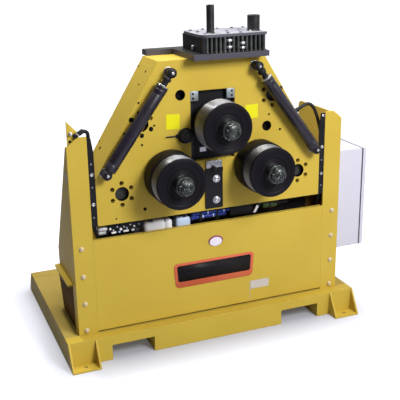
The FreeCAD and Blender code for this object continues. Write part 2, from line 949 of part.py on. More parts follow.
def build_rolls_and_drives():
    """Both lower rolls and the top roll with bearings and gear motors."""
    for name, side in (("left_roll", -1), ("right_roll", 1)):
        build_roll(name, side * lower_roll_x, lower_roll_z, lower_rear_ring_radius,
                   lower_rear_ring_width, head_rear_y)
    slide_rear_y = inner_rear_y - slide_play
    build_roll("top_roll", 0, top_roll_z, top_rear_ring_radius, top_rear_ring_width, slide_rear_y)
    lower = []
    for side in (-1, 1):
        for y0, y1 in ((front_y, inner_front_y), (inner_rear_y, head_rear_y)):
            lower.append(bearing(side * lower_roll_x, lower_roll_z, lower_bearing_radius, y0, y1))
    write("lower_bearings", *lower)
    bearing_y = front_y - boss_proud + boss_bearing_inset
    top_front = bearing(0, top_roll_z, top_bearing_radius, bearing_y, bearing_y + head_plate)
    top_rear = bearing(0, top_roll_z, top_bearing_radius, slide_rear_y - head_plate, slide_rear_y)
    write("top_bearings", top_front, top_rear)
    write("lower_gear_motors", gear_motor(-lower_roll_x, lower_roll_z, head_rear_y, True),
          gear_motor(lower_roll_x, lower_roll_z, head_rear_y, True))
    write("top_gear_motor", gear_motor(0, top_roll_z, slide_rear_y, False))


# ---------------------------------------------------------------- top slide

def top_slide():
    """Bearing block that slides between the head's plates, with its round front boss."""
    y0 = inner_front_y + slide_play
    y1 = inner_rear_y - slide_play
    block = box(-slide_half_width, slide_half_width, y0, y1, slide_bottom, slide_top)
    boss_front_y = front_y - boss_proud
    boss = rod_y(boss_radius, 0, top_roll_z, boss_front_y, y0)
    body = joined([block, boss])
    bearing_y = boss_front_y + boss_bearing_inset
    shaft_room = rod_y(shoulder_radius, 0, top_roll_z, boss_front_y, y1)
    seats = rod_y(top_bearing_radius, 0, top_roll_z, bearing_y, bearing_y + head_plate)
    rear_seat = rod_y(top_bearing_radius, 0, top_roll_z, y1 - head_plate, y1)
    return body.cut(shaft_room).cut(seats).cut(rear_seat)


def window_shields():
    """Plates above and below the bearing block that close the windows as it travels."""
    low = window_bottom - slide_travel_up - shield_lap
    high = head_top - head_plate - slide_travel_up - shield_top_clearance
    front = inner_front_y + slide_play
    rear = inner_rear_y - slide_play
    half = slide_half_width
    shields = []
    for y0 in (front, rear - shield_thickness):
        y1 = y0 + shield_thickness
        shields.append(box(-half, half, y0, y1, low, slide_bottom))
        shields.append(box(-half, half, y0, y1, slide_top, high))
    return shields


def slide_guides():
    """Upright guides on which the slide runs, seated on both head plates."""
    inner = slide_half_width + slide_play
    low = slide_bottom - slide_travel_down - guide_overrun
    high = slide_top + slide_travel_up + guide_overrun
    guide = box(-inner - guide_width, -inner, inner_front_y, inner_rear_y, low, high)
    return guide, flipped_x(guide)


def gib_blocks():
    """Pale steel blocks in the window's upper corners."""
    gib = box(-window_half_width, -window_half_width + gib_width, front_y, front_y + gib_depth,
              window_top - gib_height, window_top)
    return gib, flipped_x(gib)


def barrel_bottom():
    """Underside of the main cylinder, clear of the raised slide."""
    return slide_top + slide_travel_up + barrel_slide_clearance


def main_cylinder():
    """Main cylinder barrel with its gland and the flange under the head's top plate."""
    low = barrel_bottom()
    high = cover_bottom
    barrel = rod_z(barrel_radius, 0, slide_axis_y, low, high)
    under_top = head_top - head_plate
    flange = rod_z(gland_flange_radius, 0, slide_axis_y, under_top - gland_flange_height, under_top)
    bore = rod_z(bore_radius, 0, slide_axis_y, low + gland_length, high)
    rod_hole = rod_z(piston_rod_radius + piston_clearance, 0, slide_axis_y, low, low + gland_length)
    return joined([barrel, flange]).cut(bore).cut(rod_hole)


def piston_rod():
    """Rod and piston that drive the slide down and lift it again."""
    piston_z = barrel_bottom() + gland_length + slide_travel_down + piston_end_play
    profile = [
        (0, slide_top),
        (piston_rod_radius, slide_top),
        (piston_rod_radius, piston_z),
        (bore_radius - piston_clearance, piston_z),
        (bore_radius - piston_clearance, piston_z + piston_height),
        (0, piston_z + piston_height),
    ]
    rod = turned(profile)
    rod.translate(FreeCAD.Vector(0, slide_axis_y, 0))
    return rod


def centre_bar():
    """Dark bar on the front plate and the pale block above it, just under the window."""
    block_top = window_bottom - centre_block_drop
    block_bottom = block_top - centre_block_height
    block = box(-centre_block_width / 2, centre_block_width / 2, front_y - centre_block_thickness,
                front_y, block_bottom, block_top)
    bar = box(-centre_bar_width / 2, centre_bar_width / 2, front_y - centre_bar_thickness,
              front_y, head_bottom + centre_bar_rise, block_bottom)
    return bar, block


def indicator_base():
    """Flat base on the front plate with the indicator rod at its outer end."""
    y0 = front_y - indicator_thickness
    half = indicator_height / 2
    bar = box(-indicator_outer_x, -indicator_inner_x, y0, front_y,
              indicator_z - half, indicator_z + half)
    rod = rod_x(indicator_rod_radius, (y0 + front_y) / 2, indicator_z,
                -indicator_rod_reach, -indicator_outer_x)
    hole = rod_y(knob_stem_radius + turning_clearance, -indicator_knob_x, indicator_z, y0, front_y)
    return joined([bar, rod]).cut(hole)


def indicator_knob():
    """Round clamp knob with scalloped rim, on a stem in the base."""
    face_y = front_y - indicator_thickness - knob_end_play
    front_rim = face_y - knob_width
    profile = [
        (0, front_y - knob_end_play),
        (knob_stem_radius, front_y - knob_end_play),
        (knob_stem_radius, face_y),
        (knob_radius - ring_chamfer, face_y),
        (knob_radius, face_y - ring_chamfer),
        (knob_radius, front_rim + ring_chamfer),
        (knob_radius - ring_chamfer, front_rim),
        (0, front_rim),
    ]
    knob = turned_y(profile, -indicator_knob_x, indicator_z)
    scallops = []
    for step in range(knob_grip_count):
        angle = math.radians(360.0 * (step + 0.5) / knob_grip_count)
        reach = knob_radius + knob_grip_radius * 0.6
        scallops.append(rod_y(knob_grip_radius, -indicator_knob_x + reach * math.cos(angle),
                              indicator_z + reach * math.sin(angle), front_rim, face_y))
    return knob.cut(Part.makeCompound(scallops))


def build_slide():
    """Slide, guides, gibs, main cylinder, centre bar and indicator."""
    write("top_slide", top_slide(), *window_shields())
    write("slide_guides", *slide_guides(), *gib_blocks())
    write("main_cylinder", main_cylinder())
    write("piston_rod", piston_rod())
    bar, block = centre_bar()
    write("centre_bar", bar)
    write("centre_block", block)
    write("indicator_base", indicator_base())
    write("indicator_knob", indicator_knob())


# ---------------------------------------------------------------- parked guide-arm cylinders

def along_cylinder(shape):
    """Move a shape built on +Z from the low pin onto the right-hand cylinder's line."""
    run = cylinder_low_x - cylinder_high_x
    rise = cylinder_high_z - cylinder_low_z
    shape.rotate(FreeCAD.Vector(0, 0, 0), FreeCAD.Vector(0, 1, 0),
                 -math.degrees(math.atan2(run, rise)))
    shape.translate(FreeCAD.Vector(cylinder_low_x, front_y - cylinder_stand_off, cylinder_low_z))
    return shape


def cylinder_length():
    """Distance between the two pins of a parked cylinder."""
    return math.hypot(cylinder_low_x - cylinder_high_x, cylinder_high_z - cylinder_low_z)


def cylinder_eye(height):
    """Flat-sided eye about a pin that crosses the cylinder's line at a height."""
    return rod_y(cylinder_eye_radius, 0, height, -cylinder_eye_width / 2, cylinder_eye_width / 2)


def pin_hole(height):
    """Bore through an eye."""
    radius = cylinder_pin_radius + cylinder_pin_clearance
    return rod_y(radius, 0, height, -cylinder_radius, cylinder_radius)


def cylinder_barrel():
    """Barrel of the right-hand parked cylinder with the eye at its low end."""
    top = cylinder_length() - cylinder_rod_show
    base = cylinder_boss_radius + cylinder_boss_gap
    tube = rod_z(cylinder_radius, 0, 0, base, top)
    neck = box(-cylinder_eye_radius, cylinder_eye_radius, -cylinder_eye_width / 2,
               cylinder_eye_width / 2, 0, base)
    bore = rod_z(cylinder_bore_radius, 0, 0, cylinder_base_length, top - cylinder_gland)
    rod_way = rod_z(cylinder_rod_radius + cylinder_pin_clearance, 0, 0, top - cylinder_gland, top)
    body = joined([tube, neck, cylinder_eye(0)]).cut(bore).cut(rod_way).cut(pin_hole(0))
    return along_cylinder(body)


def cylinder_rod():
    """Rod of the right-hand parked cylinder with its eye and piston."""
    length = cylinder_length()
    piston_z = cylinder_base_length + piston_end_play
    rod = rod_z(cylinder_rod_radius, 0, 0, piston_z, length)
    piston = rod_z(cylinder_bore_radius - cylinder_pin_clearance, 0, 0,
                   piston_z, piston_z + cylinder_gland)
    body = joined([rod, piston, cylinder_eye(length)]).cut(pin_hole(length))
    return along_cylinder(body)


def cylinder_pin(x, z):
    """Pin with a boss on the head plate and a washer head outside the eye."""
    axis_y = front_y - cylinder_stand_off
    boss_y = axis_y + cylinder_eye_width / 2
    head_y = axis_y - cylinder_eye_width / 2
    profile = [
        (0, front_y),
        (cylinder_boss_radius, front_y),
        (cylinder_boss_radius, boss_y),
        (cylinder_pin_radius, boss_y),
        (cylinder_pin_radius, head_y),
        (cylinder_pin_head, head_y),
        (cylinder_pin_head, head_y - cylinder_pin_head_width),
        (0, head_y - cylinder_pin_head_width),
    ]
    return turned_y(profile, x, z)


def build_parked_cylinders():
    """The two guide-arm cylinders, pinned to the head plate at both ends."""
    barrel = cylinder_barrel()
    write("guide_cylinder_barrels", flipped_x(barrel), barrel)
    rod = cylinder_rod()
    write("guide_cylinder_rods", flipped_x(rod), rod)
    pins = []
    for side in (-1, 1):
        pins.append(cylinder_pin(side * cylinder_low_x, cylinder_low_z))
        pins.append(cylinder_pin(side * cylinder_high_x, cylinder_high_z))
    write("guide_cylinder_pins", *pins)


# ---------------------------------------------------------------- top unit

def cap_plate():
    """Thick plate on the head: a tongue to the front and a bar along the rear."""
    rear_y = head_rear_y + cap_rear_overhang
    bar_y = rear_y - cap_rear_bar
    outline = [
        (-cap_left, cap_front_y),
        (cap_right, cap_front_y),
        (cap_right, rear_y),
        (-cap_rear_left, rear_y),
        (-cap_rear_left, bar_y),
        (-cap_left, bar_y),
    ]
    bore = rod_z(barrel_radius + barrel_clearance, 0, slide_axis_y, head_top, cap_top)
    return prism_z(outline, head_top, cap_top).cut(bore)


def manifold_front_y():
    """Front face of the manifold core."""
    return cap_front_y + manifold_front_inset


def manifold():
    """Manifold core with a deeper left cheek, bored for the main cylinder."""
    y0 = manifold_front_y()
    y1 = y0 + manifold_depth
    core = box(-manifold_left, manifold_right, y0, y1, cap_top, cover_bottom)
    cheek = box(-manifold_left - cheek_width, -manifold_left, y0 - 2 * stud_offset,
                y1 + 2 * stud_offset, cap_top, cover_bottom)
    bore = rod_z(barrel_radius + barrel_clearance, 0, slide_axis_y, cap_top, cover_bottom)
    return joined([core, cheek]).cut(bore)


def evenly(start, end, pitch):
    """Positions from start to end at about the given pitch."""
    count = max(2, int(round((end - start) / pitch)) + 1)
    return [start + (end - start) * step / (count - 1) for step in range(count)]


def tie_studs():
    """Hexagonal studs round three sides of the manifold, between cap plate and cover."""
    x0 = -manifold_left + stud_offset
    x1 = manifold_right + stud_offset
    y0 = manifold_front_y() - stud_offset
    y1 = manifold_front_y() + manifold_depth + stud_offset
    places = []
    for x in evenly(x0, x1, stud_pitch):
        places += [(x, y0), (x, y1)]
    for y in evenly(y0, y1, stud_pitch)[1:-1]:
        places.append((x1, y))
    return [hex_stud(stud_across_flats, x, y, cap_top, cover_bottom) for x, y in places]


def manifold_cover():
    """Cover plate with two rounded corners on its left side."""
    x0 = -manifold_left - cover_margin
    x1 = manifold_right + cover_margin
    y0 = manifold_front_y() - cover_margin
    y1 = manifold_front_y() + manifold_depth + cover_margin
    plate = box(x0, x1, y0, y1, cover_bottom, cover_top)
    corners = [e for e in plate.Edges
               if all(abs(v.X - x0) < 0.01 for v in e.Vertexes)
               and abs(e.Vertexes[0].Z - e.Vertexes[-1].Z) > 1]
    return plate.makeFillet(cover_corner_radius, corners)


def mast_socket(x, height, radius, wall):
    """Upright tube on the cover."""
    y = cap_front_y + socket_front_inset + radius
    outer = rod_z(radius, x, y, cover_top, cover_top + height)
    return outer.cut(rod_z(radius - wall, x, y, cover_top, cover_top + height))


def build_top_unit():
    """Cap plate, manifold, studs, cover and the two mast sockets."""
    write("cap_plate", cap_plate())
    write("manifold", manifold())
    write("tie_studs", *tie_studs())
    write("manifold_cover", manifold_cover())
    tall = mast_socket(tall_socket_x, tall_socket_height, tall_socket_radius, tall_socket_wall)
    short = mast_socket(short_socket_x, short_socket_height, short_socket_radius,
                        short_socket_wall)
    write("mast_sockets", tall, short)


# ---------------------------------------------------------------- power pack

def oil_tank():
    """Sheet oil tank on the deck with rounded upright corners, and its lid."""
    y0 = front_y + tank_front_gap
    y1 = y0 + tank_depth
    rim = skid_height + tank_height - tank_lid
    shell = rounded_block(-tank_left, tank_right, y0, y1, skid_height, rim, tank_edge_radius)
    wall = tank_wall
    room = rounded_block(-tank_left + wall, tank_right - wall, y0 + wall, y1 - wall,
                         skid_height + wall, rim, tank_edge_radius - wall)
    lid = rounded_block(-tank_left, tank_right, y0, y1, rim, rim + tank_lid, tank_edge_radius)
    return shell.cut(room), lid


def filler_breather():
    """Filler neck and breather cap on the rear of the tank."""
    top = skid_height + tank_height
    profile = [
        (0, top),
        (filler_radius * 0.7, top),
        (filler_radius * 0.7, top + filler_height * 0.35),
        (filler_radius, top + filler_height * 0.35),
        (filler_radius, top + filler_height * 0.85),
        (filler_radius * 0.85, top + filler_height),
        (0, top + filler_height),
    ]
    cap = turned(profile)
    y = front_y + tank_front_gap + tank_depth - filler_rear_inset
    cap.translate(FreeCAD.Vector(-tank_left + filler_side_inset, y, 0))
    return cap


def electric_motor():
    """Foot-mounted motor with ring fins and a terminal box, on the shelf."""
    axis_z = shelf_top + motor_axis_height
    x1 = motor_left + motor_length
    profile = [(0, motor_left), (motor_radius, motor_left)]
    pitch = (motor_length - motor_fin_width) / motor_fin_count
    for step in range(motor_fin_count):
        fin_x = motor_left + pitch * (step + 0.5)
        profile += [
            (motor_radius, fin_x),
            (motor_fin_radius, fin_x),
            (motor_fin_radius, fin_x + motor_fin_width),
            (motor_radius, fin_x + motor_fin_width),
        ]
    profile += [(motor_radius, x1), (0, x1)]
    parts = [turned_x(profile, motor_y, axis_z)]
    for place in (motor_left + motor_foot_width, x1 - 2 * motor_foot_width):
        parts.append(box(place, place + motor_foot_width, motor_y - motor_foot_spread / 2,
                         motor_y + motor_foot_spread / 2, shelf_top, axis_z - motor_radius * 0.5))
    middle = (motor_left + x1) / 2
    half_box = terminal_box_size / 2
    parts.append(box(middle - half_box, middle + half_box, motor_y - half_box, motor_y + half_box,
                     axis_z + motor_radius * 0.4, axis_z + motor_radius + terminal_box_height))
    return joined(parts)


def hydraulic_pump():
    """Bell housing, gear pump and end plate in line with the motor."""
    axis_z = shelf_top + motor_axis_height
    bell_left = motor_left - bell_length
    pump_left = bell_left - pump_length
    bell = rod_x(bell_radius, motor_y, axis_z, bell_left, motor_left)
    pump = rod_x(pump_radius, motor_y, axis_z, pump_left, bell_left)
    plate = box(pump_left - pump_plate, pump_left, motor_y - pump_radius, motor_y + pump_radius,
                axis_z - pump_radius, axis_z + pump_radius)
    return joined([bell, pump, plate])


def valve_front_y():
    """Front face of the valve block on the shelf."""
    return front_y + valve_front_gap


def valve_stack():
    """Valve block on the shelf with a row of solenoid valves on top."""
    y0 = valve_front_y()
    top = shelf_top + valve_height
    block = box(-valve_left, -valve_right, y0, y0 + valve_depth, shelf_top, top)
    span = valve_left - valve_right
    pitch = span / solenoid_count
    solenoids = []
    for step in range(solenoid_count):
        x0 = -valve_left + pitch * (step + 0.5) - solenoid_width / 2
        middle = y0 + valve_depth / 2
        solenoids.append(box(x0, x0 + solenoid_width, middle - solenoid_depth / 2,
                             middle + solenoid_depth / 2, top, top + solenoid_height))
    return block, solenoids


def hose(route):
    """Hose along a route of straight runs joined by tangent arcs."""
    edges = []
    start = route[0]
    for before, corner, after in zip(route, route[1:], route[2:]):
        run_in = (corner - before).Length
        run_out = (after - corner).Length
        into = (before - corner).normalize()
        away = (after - corner).normalize()
        half_turn = (math.pi - into.getAngle(away)) / 2
        reach = 0.45 * min(run_in, run_out)
        radius = reach / math.tan(half_turn)
        print("hose bend radius %.1f" % radius)
        arc_start = corner + into * reach
        arc_end = corner + away * reach
        centre = corner + (into + away).normalize() * (radius / math.cos(half_turn))
        middle = centre + (corner - centre).normalize() * radius
        edges.append(Part.LineSegment(start, arc_start).toShape())
        edges.append(Part.Arc(arc_start, middle, arc_end).toShape())
        start = arc_end
    edges.append(Part.LineSegment(start, route[-1]).toShape())
    path = Part.Wire(edges)
    normal = (route[1] - route[0]).normalize()
    circle = Part.Wire([Part.Circle(route[0], normal, hose_radius).toShape()])
    tube = path.makePipeShell([circle], True, True)
    expected = math.pi * hose_radius ** 2 * path.Length
    print("hose volume ratio %.4f, length %.0f" % (tube.Volume / expected, path.Length))
    return tube


def union(face, direction, radius, length):
    """Round hose union that stands on a face."""
    return Part.makeCylinder(radius, length, face, direction)


def hose_bracket():
    """Peaked plate behind the left post's flange, with two bulkhead unions in front."""
    y0 = front_y + post_plate
    x0 = -web_inner
    x1 = x0 + hose_bracket_width
    outline = [
        (x0, hose_bracket_bottom),
        (x1, hose_bracket_bottom),
        (x1, post_height),
        (x1 - union_radius, hose_bracket_shoulder),
        (x0, hose_bracket_top),
    ]
    plate = prism_y(outline, y0, y0 + hose_bracket_plate)
    low = FreeCAD.Vector(*left_union_centre())
    stub = union(low, FreeCAD.Vector(0, -1, 0), union_radius, union_length)
    nipple_start = low - FreeCAD.Vector(0, union_length / 2, 0)
    nipple = union(nipple_start, left_hose_direction(), nipple_radius, 2 * union_radius)
    high = low + FreeCAD.Vector(-2.2 * union_radius, 0, union_radius)
    second = union(high, FreeCAD.Vector(0, -1, 0), union_radius * 0.9, union_length)
    return plate, joined([stub, nipple]), second


def left_union_centre():
    """Centre of the left hose's bulkhead union on the bracket's front face."""
    return -post_half_span + 43.0, front_y + post_plate, post_height + union_radius


def left_hose_direction():
    """Direction in which the left hose leaves its union."""
    return FreeCAD.Vector(math.cos(math.radians(30)), 0, math.sin(math.radians(30)))


def left_hose_route():
    """Left hose: over the post's top, down the gap beside the head, to the valve block."""
    x, y, z = left_union_centre()
    start = FreeCAD.Vector(x, y - union_length / 2, z) + left_hose_direction() * 2 * union_radius
    first = start + left_hose_direction() * 12.5
    valve_y = valve_front_y() + valve_depth / 2
    valve_z = shelf_top + valve_union_height
    end_x = -valve_left - union_length
    side_x = -head_half_width
    return [
        start,
        first,
        FreeCAD.Vector(first.x + 14.2, front_y + 3.0, first.z + 0.7),
        FreeCAD.Vector(first.x + 27.0, front_y + 10.0, first.z - 8.0),
        FreeCAD.Vector(side_x - 13.5, front_y + 22.0, post_height - 4.0),
        FreeCAD.Vector(side_x - 12.0, front_y + 30.0, 982.0),
        FreeCAD.Vector(side_x - 13.0, front_y + 32.0, 912.0),
        FreeCAD.Vector(side_x - 14.0, front_y + 31.0, 806.0),
        FreeCAD.Vector(side_x - 13.5, front_y + 32.0, 700.0),
        FreeCAD.Vector(side_x - 12.0, front_y + 35.0, 625.0),
        FreeCAD.Vector(side_x + 2.0, front_y + 47.0, 562.0),
        FreeCAD.Vector(side_x + 36.0, front_y + 66.0, 508.0),
        FreeCAD.Vector(side_x + 88.0, front_y + 81.0, 470.0),
        FreeCAD.Vector(end_x - 50.0, valve_y, valve_z),
        FreeCAD.Vector(end_x, valve_y, valve_z),
    ]


def head_union_face():
    """Point and outward direction of the union on the head's right slope."""
    run = head_half_width - head_top_half_width
    rise = head_top - head_shoulder
    slope = math.hypot(run, rise)
    x = head_half_width - (head_union_height - head_shoulder) * run / rise
    point = FreeCAD.Vector(x, slide_axis_y - 24.5, head_union_height)
    return point, FreeCAD.Vector(rise / slope, 0, run / slope)


def right_hose_route():
    """Right hose: out of the head's slope, down the gap beside the head, to the shelf."""
    face, direction = head_union_face()
    start = face + direction * union_length
    side_x = head_half_width
    return [
        start,
        start + direction * 33.0,
        FreeCAD.Vector(side_x - 33.0, face.y, head_union_height + 43.0),
        FreeCAD.Vector(side_x - 7.0, face.y, head_union_height + 36.0),
        FreeCAD.Vector(side_x + 12.0, face.y - 1.0, head_union_height + 9.0),
        FreeCAD.Vector(side_x + 31.0, front_y + 66.0, 958.0),
        FreeCAD.Vector(side_x + 42.0, front_y + 46.0, 860.0),
        FreeCAD.Vector(side_x + 38.0, front_y + 34.0, 750.0),
        FreeCAD.Vector(side_x + 34.0, front_y + 37.0, 640.0),
        FreeCAD.Vector(side_x + 21.0, front_y + 54.0, 530.0),
        FreeCAD.Vector(shelf_union_x, shelf_union_y, 435.0),
        FreeCAD.Vector(shelf_union_x, shelf_union_y, shelf_top + shelf_union_height),
    ]


def hose_unions():
    """Unions at the valve block, the head's slope and the shelf."""
    face, direction = head_union_face()
    valve_y = valve_front_y() + valve_depth / 2
    valve_face = FreeCAD.Vector(-valve_left, valve_y, shelf_top + valve_union_height)
    shelf_face = FreeCAD.Vector(shelf_union_x, shelf_union_y, shelf_top)
    return [
        union(valve_face, FreeCAD.Vector(-1, 0, 0), union_radius, union_length),
        union(face, direction, union_radius, union_length),
        union(shelf_face, FreeCAD.Vector(0, 0, 1), union_radius, shelf_union_height),
    ]


def build_power_pack():
    """Oil tank, filler, motor, pump, valves, hoses and the hose bracket."""
    write("oil_tank", *oil_tank())
    write("filler_breather", filler_breather())
    write("electric_motor", electric_motor())
    write("hydraulic_pump", hydraulic_pump())
    block, solenoids = valve_stack()
    write("valve_block", block)
    write("solenoid_valves", *solenoids)
    write("hose_bracket", *hose_bracket())
    write("hydraulic_hoses", hose(left_hose_route()), hose(right_hose_route()), *hose_unions())


# ---------------------------------------------------------------- electrical cabinet

def cabinet_span():
    """Low and high Y of the cabinet."""
    y0 = front_y + cabinet_front_gap
    return y0, y0 + cabinet_width


def door_face_x():
    """Inner face of the closed door."""
    return post_half_span + cabinet_depth + door_gap


def hinge_axis():
    """X and Y of the door's hinge line."""
    return door_face_x() + hinge_radius, cabinet_span()[1] + hinge_radius + hinge_edge_gap


def hinge_spans():
    """Low and high Z of both door hinges."""
    low = cabinet_bottom + hinge_end_inset
    high = cabinet_bottom + cabinet_height - hinge_end_inset - hinge_length
    return [(low, low + hinge_length), (high, high + hinge_length)]


def cabinet_box():
    """Sheet-metal box, open towards the door, with hinge lugs and pins."""
    y0, y1 = cabinet_span()
    x0 = post_half_span
    x1 = x0 + cabinet_depth
    z0 = cabinet_bottom
    z1 = z0 + cabinet_height
    wall = cabinet_wall
    outer = box(x0, x1, y0, y1, z0, z1)
    inner = box(x0 + wall, x1, y0 + wall, y1 - wall, z0 + wall, z1 - wall)
    parts = [outer.cut(inner)]
    axis_x, axis_y = hinge_axis()
    for low, high in hinge_spans():
        half = (high - low) / 2
        parts.append(box(x1 - hinge_length, x1, y1, axis_y + hinge_radius, low, low + half))
        parts.append(box(x1, axis_x, axis_y - hinge_pin_radius, axis_y + hinge_radius,
                         low, low + half))
        parts.append(rod_z(hinge_radius, axis_x, axis_y, low, low + half))
        parts.append(rod_z(hinge_pin_radius, axis_x, axis_y, low + half, high))
    return joined(parts)


def cabinet_door():
    """Folded door pan with hinge knuckles, lock hole and isolator hole."""
    y0, y1 = cabinet_span()
    x0 = door_face_x()
    x1 = x0 + door_thickness
    z0 = cabinet_bottom
    z1 = z0 + cabinet_height
    pan = box(x0, x1, y0, y1, z0, z1)
    recess = box(x0, x1 - door_wall, y0 + door_wall, y1 - door_wall, z0 + door_wall, z1 - door_wall)
    parts = [pan.cut(recess)]
    axis_x, axis_y = hinge_axis()
    for low, high in hinge_spans():
        half = (high - low) / 2
        start = low + half + hinge_end_play
        parts.append(rod_z(hinge_radius, axis_x, axis_y, start, high))
        parts.append(box(axis_x - hinge_radius, axis_x, y1, axis_y, start, high))
    door = joined(parts)
    for low, high in hinge_spans():
        door = door.cut(rod_z(hinge_pin_radius + hinge_clearance, axis_x, axis_y, low, high))
    lock_y, lock_z = lock_place()
    door = door.cut(rod_x(lock_stem_radius + turning_clearance, lock_y, lock_z, x0, x1))
    knob_y, knob_z = isolator_place()
    return door.cut(rod_x(isolator_stem_radius + turning_clearance, knob_y, knob_z, x0, x1))


def lock_place():
    """Y and Z of the door lock."""
    return cabinet_span()[0] + lock_edge_inset, cabinet_bottom + cabinet_height / 2


def isolator_place():
    """Y and Z of the isolator handle."""
    y0, y1 = cabinet_span()
    return (y0 + y1) / 2, cabinet_bottom + cabinet_height - isolator_drop


def door_lock():
    """Quarter-turn lock: slotted round head, stem through the door and a cam behind it."""
    y, z = lock_place()
    x1 = door_face_x() + door_thickness
    head_x = x1 + turning_clearance
    cam_x = x1 - 2 * door_wall - turning_clearance
    stem = rod_x(lock_stem_radius, y, z, cam_x, head_x)
    cam = box(cam_x, cam_x + door_wall, y - lock_cam_length, y + lock_cam_width / 2,
              z - lock_cam_width / 2, z + lock_cam_width / 2)
    head = rod_x(lock_radius, y, z, head_x, head_x + lock_stem_radius)
    slot = box(head_x + lock_stem_radius / 2, head_x + lock_stem_radius, y - 1.5, y + 1.5,
               z - lock_radius * 0.7, z + lock_radius * 0.7)
    return joined([stem, cam, head]).cut(slot)


def isolator_handle():
    """Rotary isolator: stem, round base and raised grip."""
    y, z = isolator_place()
    x1 = door_face_x() + door_thickness
    base_x = x1 + turning_clearance
    stem = rod_x(isolator_stem_radius, y, z, x1 - door_wall, base_x)
    base = rod_x(isolator_radius, y, z, base_x, base_x + 8)
    grip = box(base_x + 8, base_x + 26, y - 7, y + 7, z - isolator_radius + 2,
               z + isolator_radius - 2)
    return joined([stem, base, grip])


def control_gear():
    """Mounting plate on spacers with a transformer and two rows of contactors."""
    y0, y1 = cabinet_span()
    back = post_half_span + cabinet_wall
    face = back + gear_plate_gap
    plate_front = face + cabinet_wall
    inset = gear_plate_inset
    z0 = cabinet_bottom + inset
    z1 = cabinet_bottom + cabinet_height - inset
    plate = box(face, plate_front, y0 + inset, y1 - inset, z0, z1)
    spacers = []
    for y in (y0 + 2 * inset, y1 - 2 * inset):
        for z in (z0 + inset, z1 - inset):
            spacers.append(rod_x(hinge_radius, y, z, back, face))
    backing = joined([plate] + spacers)
    devices = []
    first_row = z0 + inset + transformer_height + 2 * inset
    for row in range(contactor_rows):
        for column in range(contactor_columns):
            y = y0 + 2 * inset + contactor_pitch * column
            z = first_row + contactor_row_pitch * row
            devices.append(box(plate_front, plate_front + contactor_depth, y,
                               y + contactor_pitch - contactor_gap, z, z + contactor_height))
    devices.append(box(plate_front, plate_front + transformer_depth, y0 + 2 * inset,
                       y1 - 2 * inset, z0 + inset, z0 + inset + transformer_height))
    return [backing] + devices


def build_cabinet():
    """Cabinet box, door, lock, isolator and what the cabinet holds."""
    write("cabinet_box", cabinet_box())
    write("cabinet_door", cabinet_door())
    write("door_lock", door_lock())
    write("isolator_handle", isolator_handle())
    write("control_gear", *control_gear())


build_skid()
build_frame()
build_head()
build_rolls_and_drives()
build_slide()
build_parked_cylinders()
build_top_unit()
build_power_pack()
build_cabinet()
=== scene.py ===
"""Studio scene of a three-roll ring roller: finishes, detail pieces, hoses, lamps and camera."""

import logging
import math
from dataclasses import dataclass, field
from enum import Enum
from typing import Sequence

import bmesh
import bpy
from mathutils import Matrix, Vector


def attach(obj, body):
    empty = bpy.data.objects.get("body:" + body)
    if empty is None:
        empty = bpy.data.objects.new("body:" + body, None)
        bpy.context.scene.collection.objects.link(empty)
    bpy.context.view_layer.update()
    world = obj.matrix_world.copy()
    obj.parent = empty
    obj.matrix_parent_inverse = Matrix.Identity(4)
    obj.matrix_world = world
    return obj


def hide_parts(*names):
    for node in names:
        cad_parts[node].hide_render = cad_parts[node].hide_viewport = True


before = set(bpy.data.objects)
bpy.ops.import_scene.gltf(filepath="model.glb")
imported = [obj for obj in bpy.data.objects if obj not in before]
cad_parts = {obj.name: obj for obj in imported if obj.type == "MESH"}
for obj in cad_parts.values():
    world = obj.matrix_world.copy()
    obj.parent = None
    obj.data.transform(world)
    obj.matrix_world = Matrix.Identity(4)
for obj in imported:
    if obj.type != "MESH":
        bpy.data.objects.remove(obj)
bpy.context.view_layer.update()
LOG = logging.getLogger("ring_roller")

Point = Sequence[float]
Colour = tuple[float, float, float]
Socket = bpy.types.NodeSocket
Profile = Sequence[tuple[float, float]]
MM = 0.001

# In millimetres: the plane of the head's and the panel's front, the direction square to the head's
# right slope, half the distance of the lower rolls, and the heights of the lower and top rolls.
FRONT = -374.0
SLOPE: Point = (0.85185, 0.0, 0.52381)
ROLL_X = 214.5
LOWER_Z = 814.0
TOP_Z = 1031.0


class Body(str, Enum):
    """Bodies of the machine that carry pieces of this scene."""

    FRAME = "frame"
    SLIDE = "slide"
    TOP_ROLL = "top_roll"
    LEFT_ROLL = "left_roll"
    RIGHT_ROLL = "right_roll"
    KNOB = "knob"
    DOOR = "door"


class Axis(Enum):
    """Directions along which turned and hexagonal forms stand."""

    RIGHT = (1.0, 0.0, 0.0)
    LEFT = (-1.0, 0.0, 0.0)
    BACK = (0.0, 1.0, 0.0)
    FRONT = (0.0, -1.0, 0.0)
    UP = (0.0, 0.0, 1.0)
    DOWN = (0.0, 0.0, -1.0)


# ---- finishes


